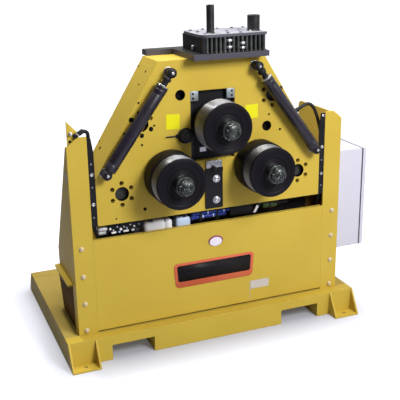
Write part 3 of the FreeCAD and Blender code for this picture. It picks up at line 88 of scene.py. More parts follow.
class Shader:
    """One node material with short ways to add and link its nodes."""

    def __init__(self, name: str) -> None:
        """Start a material with a principled surface and object coordinates."""
        self.material = bpy.data.materials.new(name)
        self.material.use_nodes = True
        self.tree = self.material.node_tree
        self.surface = self.tree.nodes["Principled BSDF"]
        self.place = self.add("ShaderNodeTexCoord", {}).outputs["Object"]

    def add(self, kind: str, values: dict, **settings: object) -> bpy.types.Node:
        """Add a node.

        Args:
            kind: Blender's name of the node type.
            values: Input name or index, with a socket to link or a constant.
            settings: Properties of the node.

        Returns:
            The new node.
        """
        node = self.tree.nodes.new(kind)
        for key, value in settings.items():
            setattr(node, key, value)
        for key, value in values.items():
            self.feed(node.inputs[key], value)
        return node

    def feed(self, target: Socket, value: object) -> None:
        """Link a socket to an input, or set the input's constant."""
        if isinstance(value, Socket):
            self.tree.links.new(value, target)
        elif isinstance(value, tuple) and target.type == "RGBA":
            target.default_value = (*value, 1.0)
        else:
            target.default_value = value

    def moved(self, place: Point = (0, 0, 0), turn: Point = (0, 0, 0), scale: Point = (1, 1, 1)) -> Socket:
        """Object coordinates, shifted, turned and scaled."""
        values = {0: self.place, 1: tuple(place), 2: tuple(turn), 3: tuple(scale)}
        return self.add("ShaderNodeMapping", values).outputs[0]

    def noise(self, scale: float, detail: float = 2.0, where: Socket | None = None) -> Socket:
        """Noise value at a scale per metre."""
        values = {"Vector": where or self.place, "Scale": scale, "Detail": detail}
        return self.add("ShaderNodeTexNoise", values).outputs[0]

    def span(self, value: Socket, low: float, high: float, to_low: float = 0.0,
             to_high: float = 1.0) -> Socket:
        """Map a value's span onto another one, clamped."""
        values = {0: value, 1: low, 2: high, 3: to_low, 4: to_high}
        return self.add("ShaderNodeMapRange", values).outputs[0]

    def sum(self, first: object, second: object, kind: str = "ADD") -> Socket:
        """Arithmetic on two values."""
        return self.add("ShaderNodeMath", {0: first, 1: second}, operation=kind).outputs[0]

    def vector(self, kind: str, *parts: object) -> Socket:
        """Arithmetic on vectors; its result is a number where the kind gives one."""
        node = self.add("ShaderNodeVectorMath", dict(enumerate(parts)), operation=kind)
        return node.outputs["Value" if kind in ("LENGTH", "DOT_PRODUCT") else "Vector"]

    def mix(self, share: object, first: object, second: object) -> Socket:
        """Mix of two colours."""
        node = self.add("ShaderNodeMix", {0: share, 6: first, 7: second}, data_type="RGBA")
        return node.outputs[2]

    def bump(self, height: Socket, distance: float, strength: float, under: Socket | None = None) -> Socket:
        """Normal raised by a height."""
        values = {"Height": height, "Distance": distance, "Strength": strength}
        if under is not None:
            values["Normal"] = under
        return self.add("ShaderNodeBump", values).outputs[0]

    def soft_edges(self, radius: float) -> tuple[Socket, Socket]:
        """Rounded normal at hard edges.

        Args:
            radius: Width of the rounding in metres.

        Returns:
            The rounded normal, and a mask that is 1 on the edges.
        """
        rounded = self.add("ShaderNodeBevel", {0: radius}, samples=4).outputs[0]
        flat = self.add("ShaderNodeNewGeometry", {}).outputs["Normal"]
        return rounded, self.span(self.vector("DOT_PRODUCT", rounded, flat), 0.995, 0.9)

    def level(self) -> Socket:
        """Value that is 1 on level faces and 0 on upright ones."""
        facing = self.add("ShaderNodeTexCoord", {}).outputs["Normal"]
        height = self.add("ShaderNodeSeparateXYZ", {0: facing}).outputs[2]
        return self.span(self.sum(height, 0.0, "ABSOLUTE"), 0.45, 0.6)

    def set(self, **values: object) -> bpy.types.Material:
        """Feed the surface's inputs, named with underscores for spaces.

        Args:
            values: Input names with sockets or constants.

        Returns:
            The finished material.
        """
        for key, value in values.items():
            self.feed(self.surface.inputs[key.replace("_", " ")], value)
        return self.material


@dataclass(frozen=True)
class Finish:
    """A surface finish; each kind builds its own material once."""

    name: str
    slot: str
    colour: Colour

    def material(self) -> bpy.types.Material:
        """The finish's material, built on first use."""
        return bpy.data.materials.get(self.name) or self.build(Shader(self.name))

    def build(self, shader: Shader) -> bpy.types.Material:
        """Fill in the material's nodes."""
        raise NotImplementedError


@dataclass(frozen=True)
class Enamel(Finish):
    """Sprayed machine paint: slight mottling, orange peel, and paler edges that are partly rubbed wear and
    partly a painted highlight.
    """

    shade: Colour
    gloss: float = 0.38
    edge_rub_and_highlight: Colour = (0.75, 0.62, 0.2)
    edge_rub_and_highlight_share: float = 0.35
    peel: float = 0.08
    sheen: float = 0.13

    def build(self, shader: Shader) -> bpy.types.Material:
        """Mottled colour, paler edges that are part wear and part painted highlight, and a fine peel."""
        rounded, edge = shader.soft_edges(0.0035)
        blotch = shader.span(shader.noise(3.5, 4.0), 0.3, 0.7)
        tone = shader.mix(blotch, self.colour, self.shade)
        # Paler colour on the edges, patchy by noise: partly rubbed wear, partly a painted highlight where
        # edges catch light.
        edge_rub_and_highlight_mask = shader.span(shader.noise(38.0, 3.0), 0.35, 0.65, 0.0, self.edge_rub_and_highlight_share)
        tone = shader.mix(shader.sum(edge, edge_rub_and_highlight_mask, "MULTIPLY"), tone, self.edge_rub_and_highlight)
        rough = shader.span(shader.noise(11.0, 3.0), 0.3, 0.7, self.gloss - 0.06, self.gloss + 0.08)
        peel = shader.bump(shader.noise(420.0, 1.0), 0.0004, self.peel, rounded)
        return shader.set(Base_Color=tone, Roughness=rough, Normal=peel, Specular_IOR_Level=self.sheen)


@dataclass(frozen=True)
class Metal(Finish):
    """Bare or blackened steel with fine grain along one direction, and a painted highlight along its edges.
    """

    shade: Colour
    roughness: float = 0.35
    grain: Point = (90.0, 90.0, 600.0)
    metallic: float = 1.0
    relief: float = 0.05
    edge: Colour = (0.5, 0.5, 0.5)
    edge_highlight_share: float = 0.3
    upright_painted_tone: Colour | None = None
    sheen: float = 0.3

    def build(self, shader: Shader) -> bpy.types.Material:
        """Grained metal, brighter on its edges by a painted highlight, with its upright faces in another
        colour where one is given, which paints light and shade by the way a face looks.
        """
        rounded, edge = shader.soft_edges(0.0018)
        streaks = shader.noise(1.0, 3.0, shader.moved(scale=self.grain))
        cloud = shader.span(shader.noise(14.0, 4.0), 0.3, 0.7)
        tone = shader.mix(cloud, self.colour, self.shade)
        # Painted light and shade: upright faces get another colour than level ones, by the way they face the
        # light.
        if self.upright_painted_tone:
            tone = shader.mix(shader.level(), self.upright_painted_tone, tone)
        # Painted highlight: a paler colour on all edges, where the edges would catch light.
        tone = shader.mix(shader.sum(edge, self.edge_highlight_share, "MULTIPLY"), tone, self.edge)
        rough = shader.span(streaks, 0.25, 0.75, self.roughness - 0.08, self.roughness + 0.12)
        lifted = shader.bump(streaks, 0.0002, self.relief, rounded)
        return shader.set(Base_Color=tone, Metallic=self.metallic, Roughness=rough, Normal=lifted,
                          Specular_IOR_Level=self.sheen)


@dataclass(frozen=True)
class TurnedSteel(Finish):
    """Steel turned on a lathe about a line along Y, with rings and a sweeping sheen."""

    shade: Colour
    centre: tuple[float, float]
    roughness: float = 0.3
    pitch: float = 0.0016
    relief: float = 0.12
    sweep: float = 0.6
    metallic: float = 1.0
    sheen: float = 0.3

    def build(self, shader: Shader) -> bpy.types.Material:
        """Turning rings about the roll's axis."""
        x, z = self.centre
        local = shader.moved(place=(-x * MM, 0.0, -z * MM))
        flat = shader.vector("MULTIPLY", local, (1.0, 0.0, 1.0))
        reach = shader.vector("LENGTH", flat)
        walk = shader.sum(reach, shader.add("ShaderNodeSeparateXYZ", {0: local}).outputs[1])
        rings = self.turning(shader, walk, 2.0, 1.0 / self.pitch)
        turning_and_reflection_bands = self.turning(shader, walk, 1.0, 0.12 / self.pitch)
        # Broad light and dark stripes along the turned profile; on the polished band they are strong and are
        # partly a painted reflection besides turning marks.
        tone = shader.mix(shader.span(turning_and_reflection_bands, 0.3, 0.7), self.colour, self.shade)
        rough = shader.span(rings, 0.3, 0.7, self.roughness - 0.07, self.roughness + 0.1)
        circling = shader.vector("CROSS_PRODUCT", (0.0, 1.0, 0.0), flat)
        world = shader.add("ShaderNodeVectorTransform", {0: circling}, vector_type="VECTOR",
                           convert_from="OBJECT", convert_to="WORLD").outputs[0]
        facing = shader.add("ShaderNodeNewGeometry", {}).outputs["Normal"]
        unit = shader.vector("NORMALIZE", shader.vector("CROSS_PRODUCT", facing, world))
        lifted = shader.bump(rings, 0.0002, self.relief)
        return shader.set(Base_Color=tone, Metallic=self.metallic, Roughness=rough, Normal=lifted,
                          Anisotropic=self.sweep, Tangent=unit, Specular_IOR_Level=self.sheen)

    def turning(self, shader: Shader, walk: Socket, detail: float, rate: float) -> Socket:
        """Noise that changes only along the turned profile, at a rate per metre."""
        place = shader.add("ShaderNodeCombineXYZ", {0: shader.sum(walk, rate, "MULTIPLY")})
        return shader.noise(1.0, detail, place.outputs[0])


@dataclass(frozen=True)
class GlintPaintedSteel(Finish):
    """Oily machined steel with painted glints: pale flecks and pale edges stand in for highlights."""

    shade: Colour
    glint: Colour = (0.8, 0.8, 0.8)
    roughness: float = 0.28

    def build(self, shader: Shader) -> bpy.types.Material:
        """Cloudy grey with painted highlights in small pale flecks and on its edges."""
        rounded, edge = shader.soft_edges(0.0015)
        tone = shader.mix(shader.span(shader.noise(45.0, 3.0), 0.35, 0.65), self.colour, self.shade)
        slanted = shader.moved(turn=(0.0, 0.7, 0.0), scale=(260.0, 120.0, 90.0))
        # Painted glints: pale colour on noise flecks and on the edges.
        painted_glints = shader.span(shader.noise(1.0, 1.0, slanted), 0.66, 0.74)
        tone = shader.mix(shader.sum(painted_glints, shader.sum(edge, 0.4, "MULTIPLY"), "MAXIMUM"), tone, self.glint)
        lifted = shader.bump(shader.noise(200.0, 2.0), 0.0004, 0.25, rounded)
        return shader.set(Base_Color=tone, Metallic=0.9, Roughness=self.roughness, Normal=lifted,
                          Specular_IOR_Level=0.3)


@dataclass(frozen=True)
class Moulding(Finish):
    """Moulded plastic or rubber with a fine grain."""

    shade: Colour
    roughness: float = 0.45
    grain: float = 900.0
    relief: float = 0.1
    sheen: float = 0.3

    def build(self, shader: Shader) -> bpy.types.Material:
        """Slightly uneven colour and a leathery grain."""
        rounded, _ = shader.soft_edges(0.0012)
        tone = shader.mix(shader.span(shader.noise(22.0, 3.0), 0.3, 0.7), self.colour, self.shade)
        rough = shader.span(shader.noise(60.0, 2.0), 0.3, 0.7, self.roughness - 0.07, self.roughness + 0.07)
        lifted = shader.bump(shader.noise(self.grain, 2.0), 0.0002, self.relief, rounded)
        return shader.set(Base_Color=tone, Roughness=rough, Normal=lifted, Specular_IOR_Level=self.sheen)


MUSTARD = Enamel("mustard_enamel", "machine_paint", (0.595, 0.425, 0.060), (0.555, 0.39, 0.052))
# A darker mustard for the deck, the rear sill and the side rails.
DARKER_MUSTARD = Enamel("darker_mustard_enamel", "machine_paint", (0.47, 0.34, 0.08), (0.40, 0.285, 0.055),
                 gloss=0.5)
LAVENDER = Enamel("lavender_coat", "cabinet_paint", (0.64, 0.63, 0.72), (0.60, 0.59, 0.68), gloss=0.5,
                  edge_rub_and_highlight=(0.85, 0.85, 0.9), peel=0.15)
CASTING = Enamel("dark_casting_enamel", "drive_paint", (0.045, 0.055, 0.07), (0.06, 0.07, 0.085), gloss=0.5,
                 edge_rub_and_highlight=(0.3, 0.3, 0.32), peel=0.3)
# Dark brown for sheets put where the machine has only shade: painted shade.
SHADE_BROWN = Enamel("brown_painted_shade_enamel", "black_steel", (0.17, 0.085, 0.018), (0.09, 0.05, 0.014), gloss=0.6,
                    edge_rub_and_highlight=(0.3, 0.2, 0.06), sheen=0.04)
BARREL = Enamel("purple_black_enamel", "black_steel", (0.014, 0.011, 0.018), (0.022, 0.017, 0.028),
                gloss=0.28, edge_rub_and_highlight=(0.16, 0.15, 0.2), sheen=0.5)
BLUE_PIPE = Enamel("dark_blue_enamel", "drive_paint", (0.014, 0.026, 0.16), (0.02, 0.04, 0.24), gloss=0.3,
                   edge_rub_and_highlight=(0.3, 0.35, 0.6))
GREEN_PAINT = Enamel("dark_green_enamel", "drive_paint", (0.03, 0.055, 0.018), (0.05, 0.08, 0.03), gloss=0.4,
                     edge_rub_and_highlight=(0.2, 0.25, 0.15))
SIGN_BLACK = Enamel("sign_black", "black_plastic", (0.010, 0.009, 0.010), (0.014, 0.012, 0.014), gloss=0.32,
                    edge_rub_and_highlight=(0.03, 0.03, 0.03), peel=0.02, sheen=0.08)
SIGN_RED = Enamel("sign_red", "black_plastic", (0.58, 0.10, 0.045), (0.66, 0.15, 0.07), gloss=0.35,
                  edge_rub_and_highlight=(0.8, 0.5, 0.4), peel=0.02)
BADGE_MAROON = Enamel("badge_maroon", "black_plastic", (0.20, 0.045, 0.085), (0.27, 0.07, 0.12), gloss=0.35,
                      edge_rub_and_highlight=(0.5, 0.3, 0.3), peel=0.02)
BADGE_PALE = Enamel("badge_pale", "white_plastic", (0.74, 0.66, 0.74), (0.82, 0.76, 0.84), gloss=0.35,
                    edge_rub_and_highlight=(0.9, 0.9, 0.9), peel=0.02)
LABEL_GREY = Enamel("label_grey", "white_plastic", (0.50, 0.45, 0.40), (0.60, 0.54, 0.48), gloss=0.45,
                    edge_rub_and_highlight=(0.8, 0.78, 0.7), peel=0.03)
LABEL_LEMON = Enamel("label_lemon", "white_plastic", (0.80, 0.74, 0.012), (0.74, 0.69, 0.02), gloss=0.4,
                     edge_rub_and_highlight=(0.85, 0.8, 0.3), peel=0.03)
BLACKENED = Metal("blackened_steel", "black_steel", (0.010, 0.010, 0.012), (0.018, 0.017, 0.021), 0.42,
                  edge=(0.14, 0.14, 0.17), metallic=0.3, sheen=0.2)
BORE = Metal("dark_bore", "black_steel", (0.05, 0.05, 0.045), (0.06, 0.06, 0.055), 0.6, edge=(0.1, 0.1, 0.1),
             metallic=0.2, sheen=0.1)
HOLE = Metal("oily_thread", "black_steel", (0.006, 0.005, 0.006), (0.010, 0.008, 0.008), 0.6,
             edge=(0.02, 0.015, 0.01), metallic=0.1, sheen=0.08)
# Its upright faces are painted lighter than its top: painted light.
CAP_STEEL = Metal("blue_black_plate", "black_steel", (0.020, 0.020, 0.020), (0.045, 0.043, 0.034), 0.42,
                  edge=(0.22, 0.22, 0.26), metallic=0.3, upright_painted_tone=(0.075, 0.071, 0.09), sheen=0.2)
STUD = Metal("drawn_stud_steel", "black_steel", (0.05, 0.052, 0.05), (0.15, 0.155, 0.15), 0.3,
             edge=(0.35, 0.35, 0.35), grain=(60.0, 60.0, 20.0), metallic=0.7)
STUD_PALE = Metal("ribbed_grey_steel", "polished_steel", (0.52, 0.53, 0.55), (0.66, 0.68, 0.70), 0.35,
                  edge=(0.9, 0.9, 0.95), metallic=0.3)
TUBE = Metal("dark_drawn_tube", "black_steel", (0.05, 0.05, 0.052), (0.085, 0.085, 0.085), 0.3,
             edge=(0.3, 0.3, 0.3), grain=(300.0, 300.0, 30.0), metallic=0.85)
GROUND = Metal("ground_steel", "polished_steel", (0.58, 0.58, 0.6), (0.48, 0.48, 0.5), 0.3,
               edge=(0.85, 0.85, 0.88))
GIB = Metal("blue_grey_gib", "polished_steel", (0.26, 0.30, 0.32), (0.36, 0.40, 0.41), 0.4,
            edge=(0.7, 0.75, 0.75), metallic=0.6)
ZINC = Metal("zinc_plated_steel", "polished_steel", (0.72, 0.71, 0.74), (0.60, 0.60, 0.64), 0.3,
             edge=(0.9, 0.9, 0.92), grain=(200.0, 200.0, 200.0), metallic=0.85)
CHROME = Metal("hard_chrome", "chrome_rod", (0.8, 0.8, 0.82), (0.74, 0.74, 0.77), 0.12, relief=0.02,
               edge=(0.9, 0.9, 0.92))
# Its upright faces are painted darker than its light top: painted shade.
COVER = Metal("milled_aluminium", "cover_aluminium", (0.42, 0.42, 0.46), (0.25, 0.25, 0.29), 0.45,
              edge=(0.4, 0.4, 0.45), grain=(500.0, 60.0, 60.0), metallic=0.2, upright_painted_tone=(0.09, 0.09, 0.11))
NOSE = GlintPaintedSteel("nose_steel_painted_glints", "black_steel", (0.022, 0.028, 0.025), (0.10, 0.11, 0.10),
               glint=(0.7, 0.7, 0.72), roughness=0.36)
COVER_SCREW = Metal("grey_screw_steel", "black_steel", (0.20, 0.20, 0.23), (0.30, 0.30, 0.34), 0.4,
                    edge=(0.5, 0.5, 0.55), metallic=0.5)
# Mustard-painted bolt; its pale edges over a large share are a painted highlight.
PAINTED_BOLT = Metal("mustard_bolt_painted_edge_highlight", "polished_steel", (0.62, 0.47, 0.22), (0.66, 0.56, 0.42), 0.34,
                     edge=(0.85, 0.75, 0.68), edge_highlight_share=0.6, metallic=0.15)
GUIDE = Metal("oiled_guide_steel", "polished_steel", (0.03, 0.032, 0.034), (0.05, 0.05, 0.05), 0.35,
              edge=(0.15, 0.15, 0.16), metallic=0.5, sheen=0.2)
WHITE_COIL = Moulding("white_moulding", "white_plastic", (0.90, 0.90, 0.92), (0.86, 0.86, 0.89), 0.35)
BLUE_COIL = Moulding("pale_blue_moulding", "white_plastic", (0.42, 0.52, 0.72), (0.52, 0.62, 0.80), 0.35)
BLACK_GRIP = Moulding("black_moulding", "black_plastic", (0.009, 0.009, 0.010), (0.015, 0.015, 0.017), 0.42,
                      sheen=0.2)
GREY_DEVICE = Moulding("grey_moulding", "grey_plastic", (0.30, 0.31, 0.32), (0.36, 0.37, 0.38), 0.5)
SEAL = Moulding("grey_black_seal", "black_plastic", (0.05, 0.05, 0.06), (0.08, 0.08, 0.09), 0.6)
GAUGE = Moulding("amber_gauge_window", "white_plastic", (0.55, 0.38, 0.10), (0.62, 0.45, 0.14), 0.15)
HOSE = Moulding("hose_cover", "hose_rubber", (0.010, 0.010, 0.011), (0.019, 0.019, 0.021), 0.45, grain=1400.0,
                sheen=0.2)


# ---- mesh building


@dataclass
class Piece:
    """One piece in the making, in millimetres; done() makes it an object in metres."""

    name: str
    finish: Finish
    body: Body = Body.FRAME
    mesh: bmesh.types.BMesh = field(default_factory=bmesh.new)

    def block(self, low: Point, high: Point, round_by: float = 0.0, steps: int = 2) -> list:
        """Add a block between two corners.

        Args:
            low: Lowest corner.
            high: Highest corner.
            round_by: Width of the rounding along its edges.
            steps: Segments of the rounding.

        Returns:
            The block's vertices before rounding.
        """
        a, b = Vector(low), Vector(high)
        place = Matrix.Translation((a + b) / 2) @ Matrix.Diagonal((*(b - a), 1.0))
        made = bmesh.ops.create_cube(self.mesh, size=1.0, matrix=place)["verts"]
        self.soften(made, round_by, steps)
        return made

    def blocks(self, *boxes: tuple[Point, Point], round_by: float = 0.0) -> "Piece":
        """Add blocks that share one rounding, each between two corners, and return the piece."""
        for low, high in boxes:
            self.block(low, high, round_by)
        return self

    def sided(self, side: int, low: Point, high: Point, round_by: float) -> None:
        """Add a block given for the right side, or its mirror image on the left."""
        near, far = sorted((side * low[0], side * high[0]))
        self.block((near, *low[1:]), (far, *high[1:]), round_by)

    def turn(self, profile: Profile, base: Point, axis: Axis = Axis.BACK,
             steps: int = 64, closed: bool = False, round_by: float = 0.0) -> list:
        """Spin a profile about a line.

        Args:
            profile: Points as radius and distance along the axis.
            base: A point on the line.
            axis: Direction of the line.
            steps: Facets round the line.
            closed: Whether the profile is a loop, as of a ring.
            round_by: Width of the rounding of its rims.

        Returns:
            The spun vertices before rounding.
        """
        along, foot = Vector(axis.value), Vector(base)
        out = Vector((0, 0, 1)) if abs(along.z) < 0.5 else Vector((1, 0, 0))
        before = set(self.mesh.verts)
        line = [self.mesh.verts.new(foot + along * far + out * radius) for radius, far in profile]
        pairs = list(zip(line, line[1:])) + ([(line[-1], line[0])] if closed else [])
        edges = [self.mesh.edges.new(pair) for pair in pairs]
        bmesh.ops.spin(self.mesh, geom=line + edges, cent=foot, axis=along, angle=math.tau, steps=steps,
                       use_merge=True)
        made = [v for v in self.mesh.verts if v not in before]
        bmesh.ops.remove_doubles(self.mesh, verts=made, dist=0.001)
        made = [v for v in self.mesh.verts if v not in before]
        self.soften(made, round_by, 2, 0.45)
        return made

    def rod(self, radius: float, start: Point, axis: Axis, length: float, round_by: float = 0.0,
            steps: int = 32) -> list:
        """Add a cylinder that starts at a point."""
        return self.turn([(0, 0), (radius, 0), (radius, length), (0, length)], start, axis, steps,
                         round_by=round_by)

    def ring(self, inner: float, outer: float, start: Point, axis: Axis, length: float, round_by: float = 0.0,
             steps: int = 48) -> list:
        """Add a tube or washer that starts at a point."""
        loop = [(inner, 0), (outer, 0), (outer, length), (inner, length)]
        return self.turn(loop, start, axis, steps, closed=True, round_by=round_by)

    def hexagon(self, across: float, start: Point, axis: Axis, length: float, round_by: float = 0.6) -> list:
        """Add a hexagonal bar or nut that starts at a point."""
        made = self.turn([(0, 0), (across / math.sqrt(3), 0), (across / math.sqrt(3), length), (0, length)],
                         start, axis, 6)
        self.soften(made, round_by, 1)
        return made

    def prism(self, outline: Sequence[Point], depth: Point, round_by: float = 0.0) -> list:
        """Extrude a flat outline.

        Args:
            outline: Corner points in order.
            depth: Vector of the extrusion.
            round_by: Width of the rounding along its edges.

        Returns:
            The prism's vertices before rounding.
        """
        face = self.mesh.faces.new([self.mesh.verts.new(corner) for corner in outline])
        grown = bmesh.ops.extrude_face_region(self.mesh, geom=[face])["geom"]
        far = [item for item in grown if isinstance(item, bmesh.types.BMVert)]
        bmesh.ops.translate(self.mesh, verts=far, vec=Vector(depth))
        made = list(face.verts) + far
        self.soften(made, round_by, 2)
        return made

    def soften(self, verts: Sequence, width: float, steps: int, least: float = 0.3) -> None:
        """Round the sharp edges between the given vertices."""
        if width <= 0:
            return
        chosen = set(verts)
        bmesh.ops.recalc_face_normals(self.mesh, faces=list({f for v in chosen for f in v.link_faces}))
        sharp = [e for e in {e for v in chosen for e in v.link_edges}
                 if e.is_manifold and e.calc_face_angle(0.0) > least and set(e.verts) <= chosen]
        bmesh.ops.bevel(self.mesh, geom=sharp, offset=width, offset_type="OFFSET", segments=steps,
                        profile=0.5, affect="EDGES", clamp_overlap=True, material=-1)

    def tilt(self, verts: Sequence, turn: Matrix, about: Point = (0, 0, 0)) -> None:
        """Turn vertices about a point."""
        pivot = Matrix.Translation(-Vector(about))
        bmesh.ops.transform(self.mesh, verts=list(verts), matrix=turn, space=pivot)

    def lay(self, turn: Matrix, before: Sequence = ()) -> None:
        """Move everything that was added since the given vertices were all there was."""
        old = set(before)
        bmesh.ops.transform(self.mesh, verts=[v for v in self.mesh.verts if v not in old], matrix=turn)

    def done(self, *stands_for: str, crease: float = 0.6) -> bpy.types.Object:
        """Make the object, dress it and let it ride.

        Args:
            stands_for: CAD nodes that it replaces.
            crease: Angle in radians above which an edge stays sharp.

        Returns:
            The finished object.
        """
        bmesh.ops.scale(self.mesh, vec=(MM, MM, MM), verts=self.mesh.verts)
        bmesh.ops.recalc_face_normals(self.mesh, faces=self.mesh.faces)
        for face in self.mesh.faces:
            face.smooth = True
        for edge in self.mesh.edges:
            edge.smooth = not edge.is_manifold or edge.calc_face_angle(0.0) < crease
        data = bpy.data.meshes.new(self.name)
        self.mesh.to_mesh(data)
        self.mesh.free()
        return settle(linked(self.name, data), self.body, self.finish, *stands_for)


def linked(name: str, data: bpy.types.ID) -> bpy.types.Object:
    """Make an object of its data and link it to the scene."""
    made = bpy.data.objects.new(name, data)
    bpy.context.scene.collection.objects.link(made)
    return made


def settle(made: bpy.types.Object, body: Body, finish: Finish, *stands_for: str) -> bpy.types.Object:
    """Dress an object and let it ride on its body.

    Args:
        made: The new object.
        body: Body that carries it.
        finish: Its finish.
        stands_for: CAD nodes that it replaces.

    Returns:
        The same object.
    """
    made.data.materials.append(finish.material())
    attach(made, body.value)
    if stands_for:
        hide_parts(*stands_for)
    LOG.info("piece %s rides on %s", made.name, body.value)
    return made


def dress(finish: Finish, *nodes: str) -> None:
    """Give CAD nodes their finish."""
    for node in nodes:
        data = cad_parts[node].data
        data.materials.clear()
        data.materials.append(finish.material())
        LOG.info("node %s dressed in %s", node, finish.name)


def socket_head(radius: float, height: float, floor: float) -> Profile:
    """Profile of a socket-head screw whose socket ends at the given floor."""
    return [(0, floor), (radius * 0.5, floor), (radius * 0.5, height), (radius * 0.85, height),
            (radius, height * 0.85), (radius, 0), (0, 0)]


def set_screw(radius: float, floor: float, top: float, shoulder: float, foot: float) -> Profile:
    """Profile of a set screw with a socket and a rounded shoulder, sunk down to its foot."""
    return [(0, floor), (radius * 0.5, floor), (radius * 0.55, top), (radius * 0.85, top),
            (radius, shoulder), (radius, foot), (0, foot)]


def round_the_circle(count: int, radius: float, start: float = 0.0) -> list[tuple[float, float]]:
    """Evenly spaced points on a circle about the origin, from a start angle in radians."""
    angles = [start + math.tau * step / count for step in range(count)]
    return [(radius * math.cos(angle), radius * math.sin(angle)) for angle in angles]


# ---- studio


@dataclass
class Studio:
    """Pale floor, soft lamps, white surroundings and the camera.

    Attributes:
        ambient: Strength of the light from the right; left_ambient is that from the left, and
            ambient_span tells over which part of the way between them it changes.
        floor_glow: Share of the floor's own glow beside the skid, rising to 1 at floor_fade metres from it;
            the lower glow there is a painted shadow round the skid, on top of the real one.
        shade_half: Half sizes of the middle of the floor, where the glow is lowest and the painted shadow
            darkest.
    """

    eye: Point = (-1.3254, -3.5026, 1.7826)
    yaw: float = 21.90
    pitch: float = 18.16
    roll: float = -0.9987
    lens: float = 70.73
    ambient: float = 0.80
    left_ambient: float = 0.02
    ambient_span: tuple[float, float] = (-0.6, 0.7)
    floor_glow: float = 0.08
    floor_fade: float = 0.36
    floor_colour: Colour = (0.40, 0.41, 0.48)
    shade_half: tuple[float, float] = (0.64, 0.40)
    daylight: Colour = (0.96, 0.97, 1.0)

    def build(self) -> None:
        """Set up everything around the machine."""
        self.camera()
        self.world()
        self.floor()
        self.lamp("overhead", place=(0.0, 0.1, 3.8), aim=(0.0, 0.0, 0.5), size=2.0, power=72.0)
        self.lamp("key", place=(1.1, -3.3, 2.9), aim=(0.0, 0.0, 0.8), size=1.3, power=138.0)
        self.lamp("upper_left", place=(-0.8, 0.35, 3.6), aim=(0.0, 0.0, 0.9), size=0.24, power=44.0)
        bpy.context.scene.view_settings.view_transform = "Standard"

    def camera(self) -> None:
        """Camera in front of the machine, to its left and above it."""
        yaw, pitch, roll = (math.radians(a) for a in (self.yaw, self.pitch, self.roll))
        ahead = Vector((math.sin(yaw) * math.cos(pitch), math.cos(yaw) * math.cos(pitch), -math.sin(pitch)))
        level = Vector((math.cos(yaw), -math.sin(yaw), 0.0))
        upright = level.cross(ahead)
        right = math.cos(roll) * level + math.sin(roll) * upright
        up = -math.sin(roll) * level + math.cos(roll) * upright
        data = bpy.data.cameras.new("camera")
        data.lens, data.sensor_width = self.lens, 36.0
        item = linked("camera", data)
        place = Matrix((right, up, -ahead)).transposed().to_4x4()
        place.translation = Vector(self.eye)
        item.matrix_world = place
        bpy.context.scene.camera = item

    def seen(self, tree: bpy.types.NodeTree) -> Socket:
        """Value that is 1 for what the camera sees."""
        return tree.nodes.new("ShaderNodeLightPath").outputs["Is Camera Ray"]

    def world(self) -> None:
        """White surroundings that light the machine more softly than they look, least from the left."""
        world = bpy.data.worlds.new("surroundings")
        world.use_nodes = True
        tree = world.node_tree
        dim = tree.nodes["Background"]
        dim.inputs[0].default_value = (*self.daylight, 1.0)
        towards = tree.nodes.new("ShaderNodeSeparateXYZ")
        tree.links.new(tree.nodes.new("ShaderNodeTexCoord").outputs["Generated"], towards.inputs[0])
        slant = tree.nodes.new("ShaderNodeMapRange")
        for index, value in enumerate((*self.ambient_span, self.left_ambient, self.ambient), 1):
            slant.inputs[index].default_value = value
        tree.links.new(towards.outputs[0], slant.inputs[0])
        tree.links.new(slant.outputs[0], dim.inputs[1])
        white = tree.nodes.new("ShaderNodeBackground")
        white.inputs[0].default_value = (1.0, 1.0, 1.0, 1.0)
        both = tree.nodes.new("ShaderNodeMixShader")
        tree.links.new(self.seen(tree), both.inputs[0])
        tree.links.new(dim.outputs[0], both.inputs[1])
        tree.links.new(white.outputs[0], both.inputs[2])
        tree.links.new(both.outputs[0], tree.nodes["World Output"].inputs[0])
        bpy.context.scene.world = world

    def floor(self) -> None:
        """Pale floor that keeps the machine's shadow, with a painted shadow round the skid where its glow is
        lowered.
        """
        mesh = bmesh.new()
        bmesh.ops.create_grid(mesh, x_segments=1, y_segments=1, size=30.0)
        data = bpy.data.meshes.new("floor")
        mesh.to_mesh(data)
        mesh.free()
        shader = Shader("pale_floor")
        place = shader.add("ShaderNodeSeparateXYZ", {0: shader.place})
        away = []
        for axis, half in enumerate(self.shade_half):
            reach = shader.sum(shader.sum(place.outputs[axis], 0.0, "ABSOLUTE"), half, "SUBTRACT")
            reach = shader.sum(reach, 0.0, "MAXIMUM")
            away.append(shader.sum(reach, reach, "MULTIPLY"))
        reach = shader.sum(shader.sum(away[0], away[1]), 0.5, "POWER")
        # Painted shadow: the floor's glow drops towards the skid, so the floor there looks darker whatever
        # the lamps do.
        glow = shader.span(reach, 0.0, self.floor_fade, self.floor_glow, 1.0)
        glow = shader.sum(self.seen(shader.tree), glow, "MULTIPLY")
        shader.set(Base_Color=self.floor_colour, Roughness=0.85, Emission_Color=(0.99, 0.99, 1.0),
                   Emission_Strength=glow)
        data.materials.append(shader.material)
        linked("floor", data)

    def lamp(self, name: str, place: Point, aim: Point, size: float, power: float) -> None:
        """Square soft lamp aimed at a point."""
        data = bpy.data.lights.new(name, "AREA")
        data.size, data.energy = size, power
        item = linked(name, data)
        item.location = place
        item.rotation_euler = (Vector(aim) - Vector(place)).to_track_quat("-Z", "Y").to_euler()


# ---- rolls


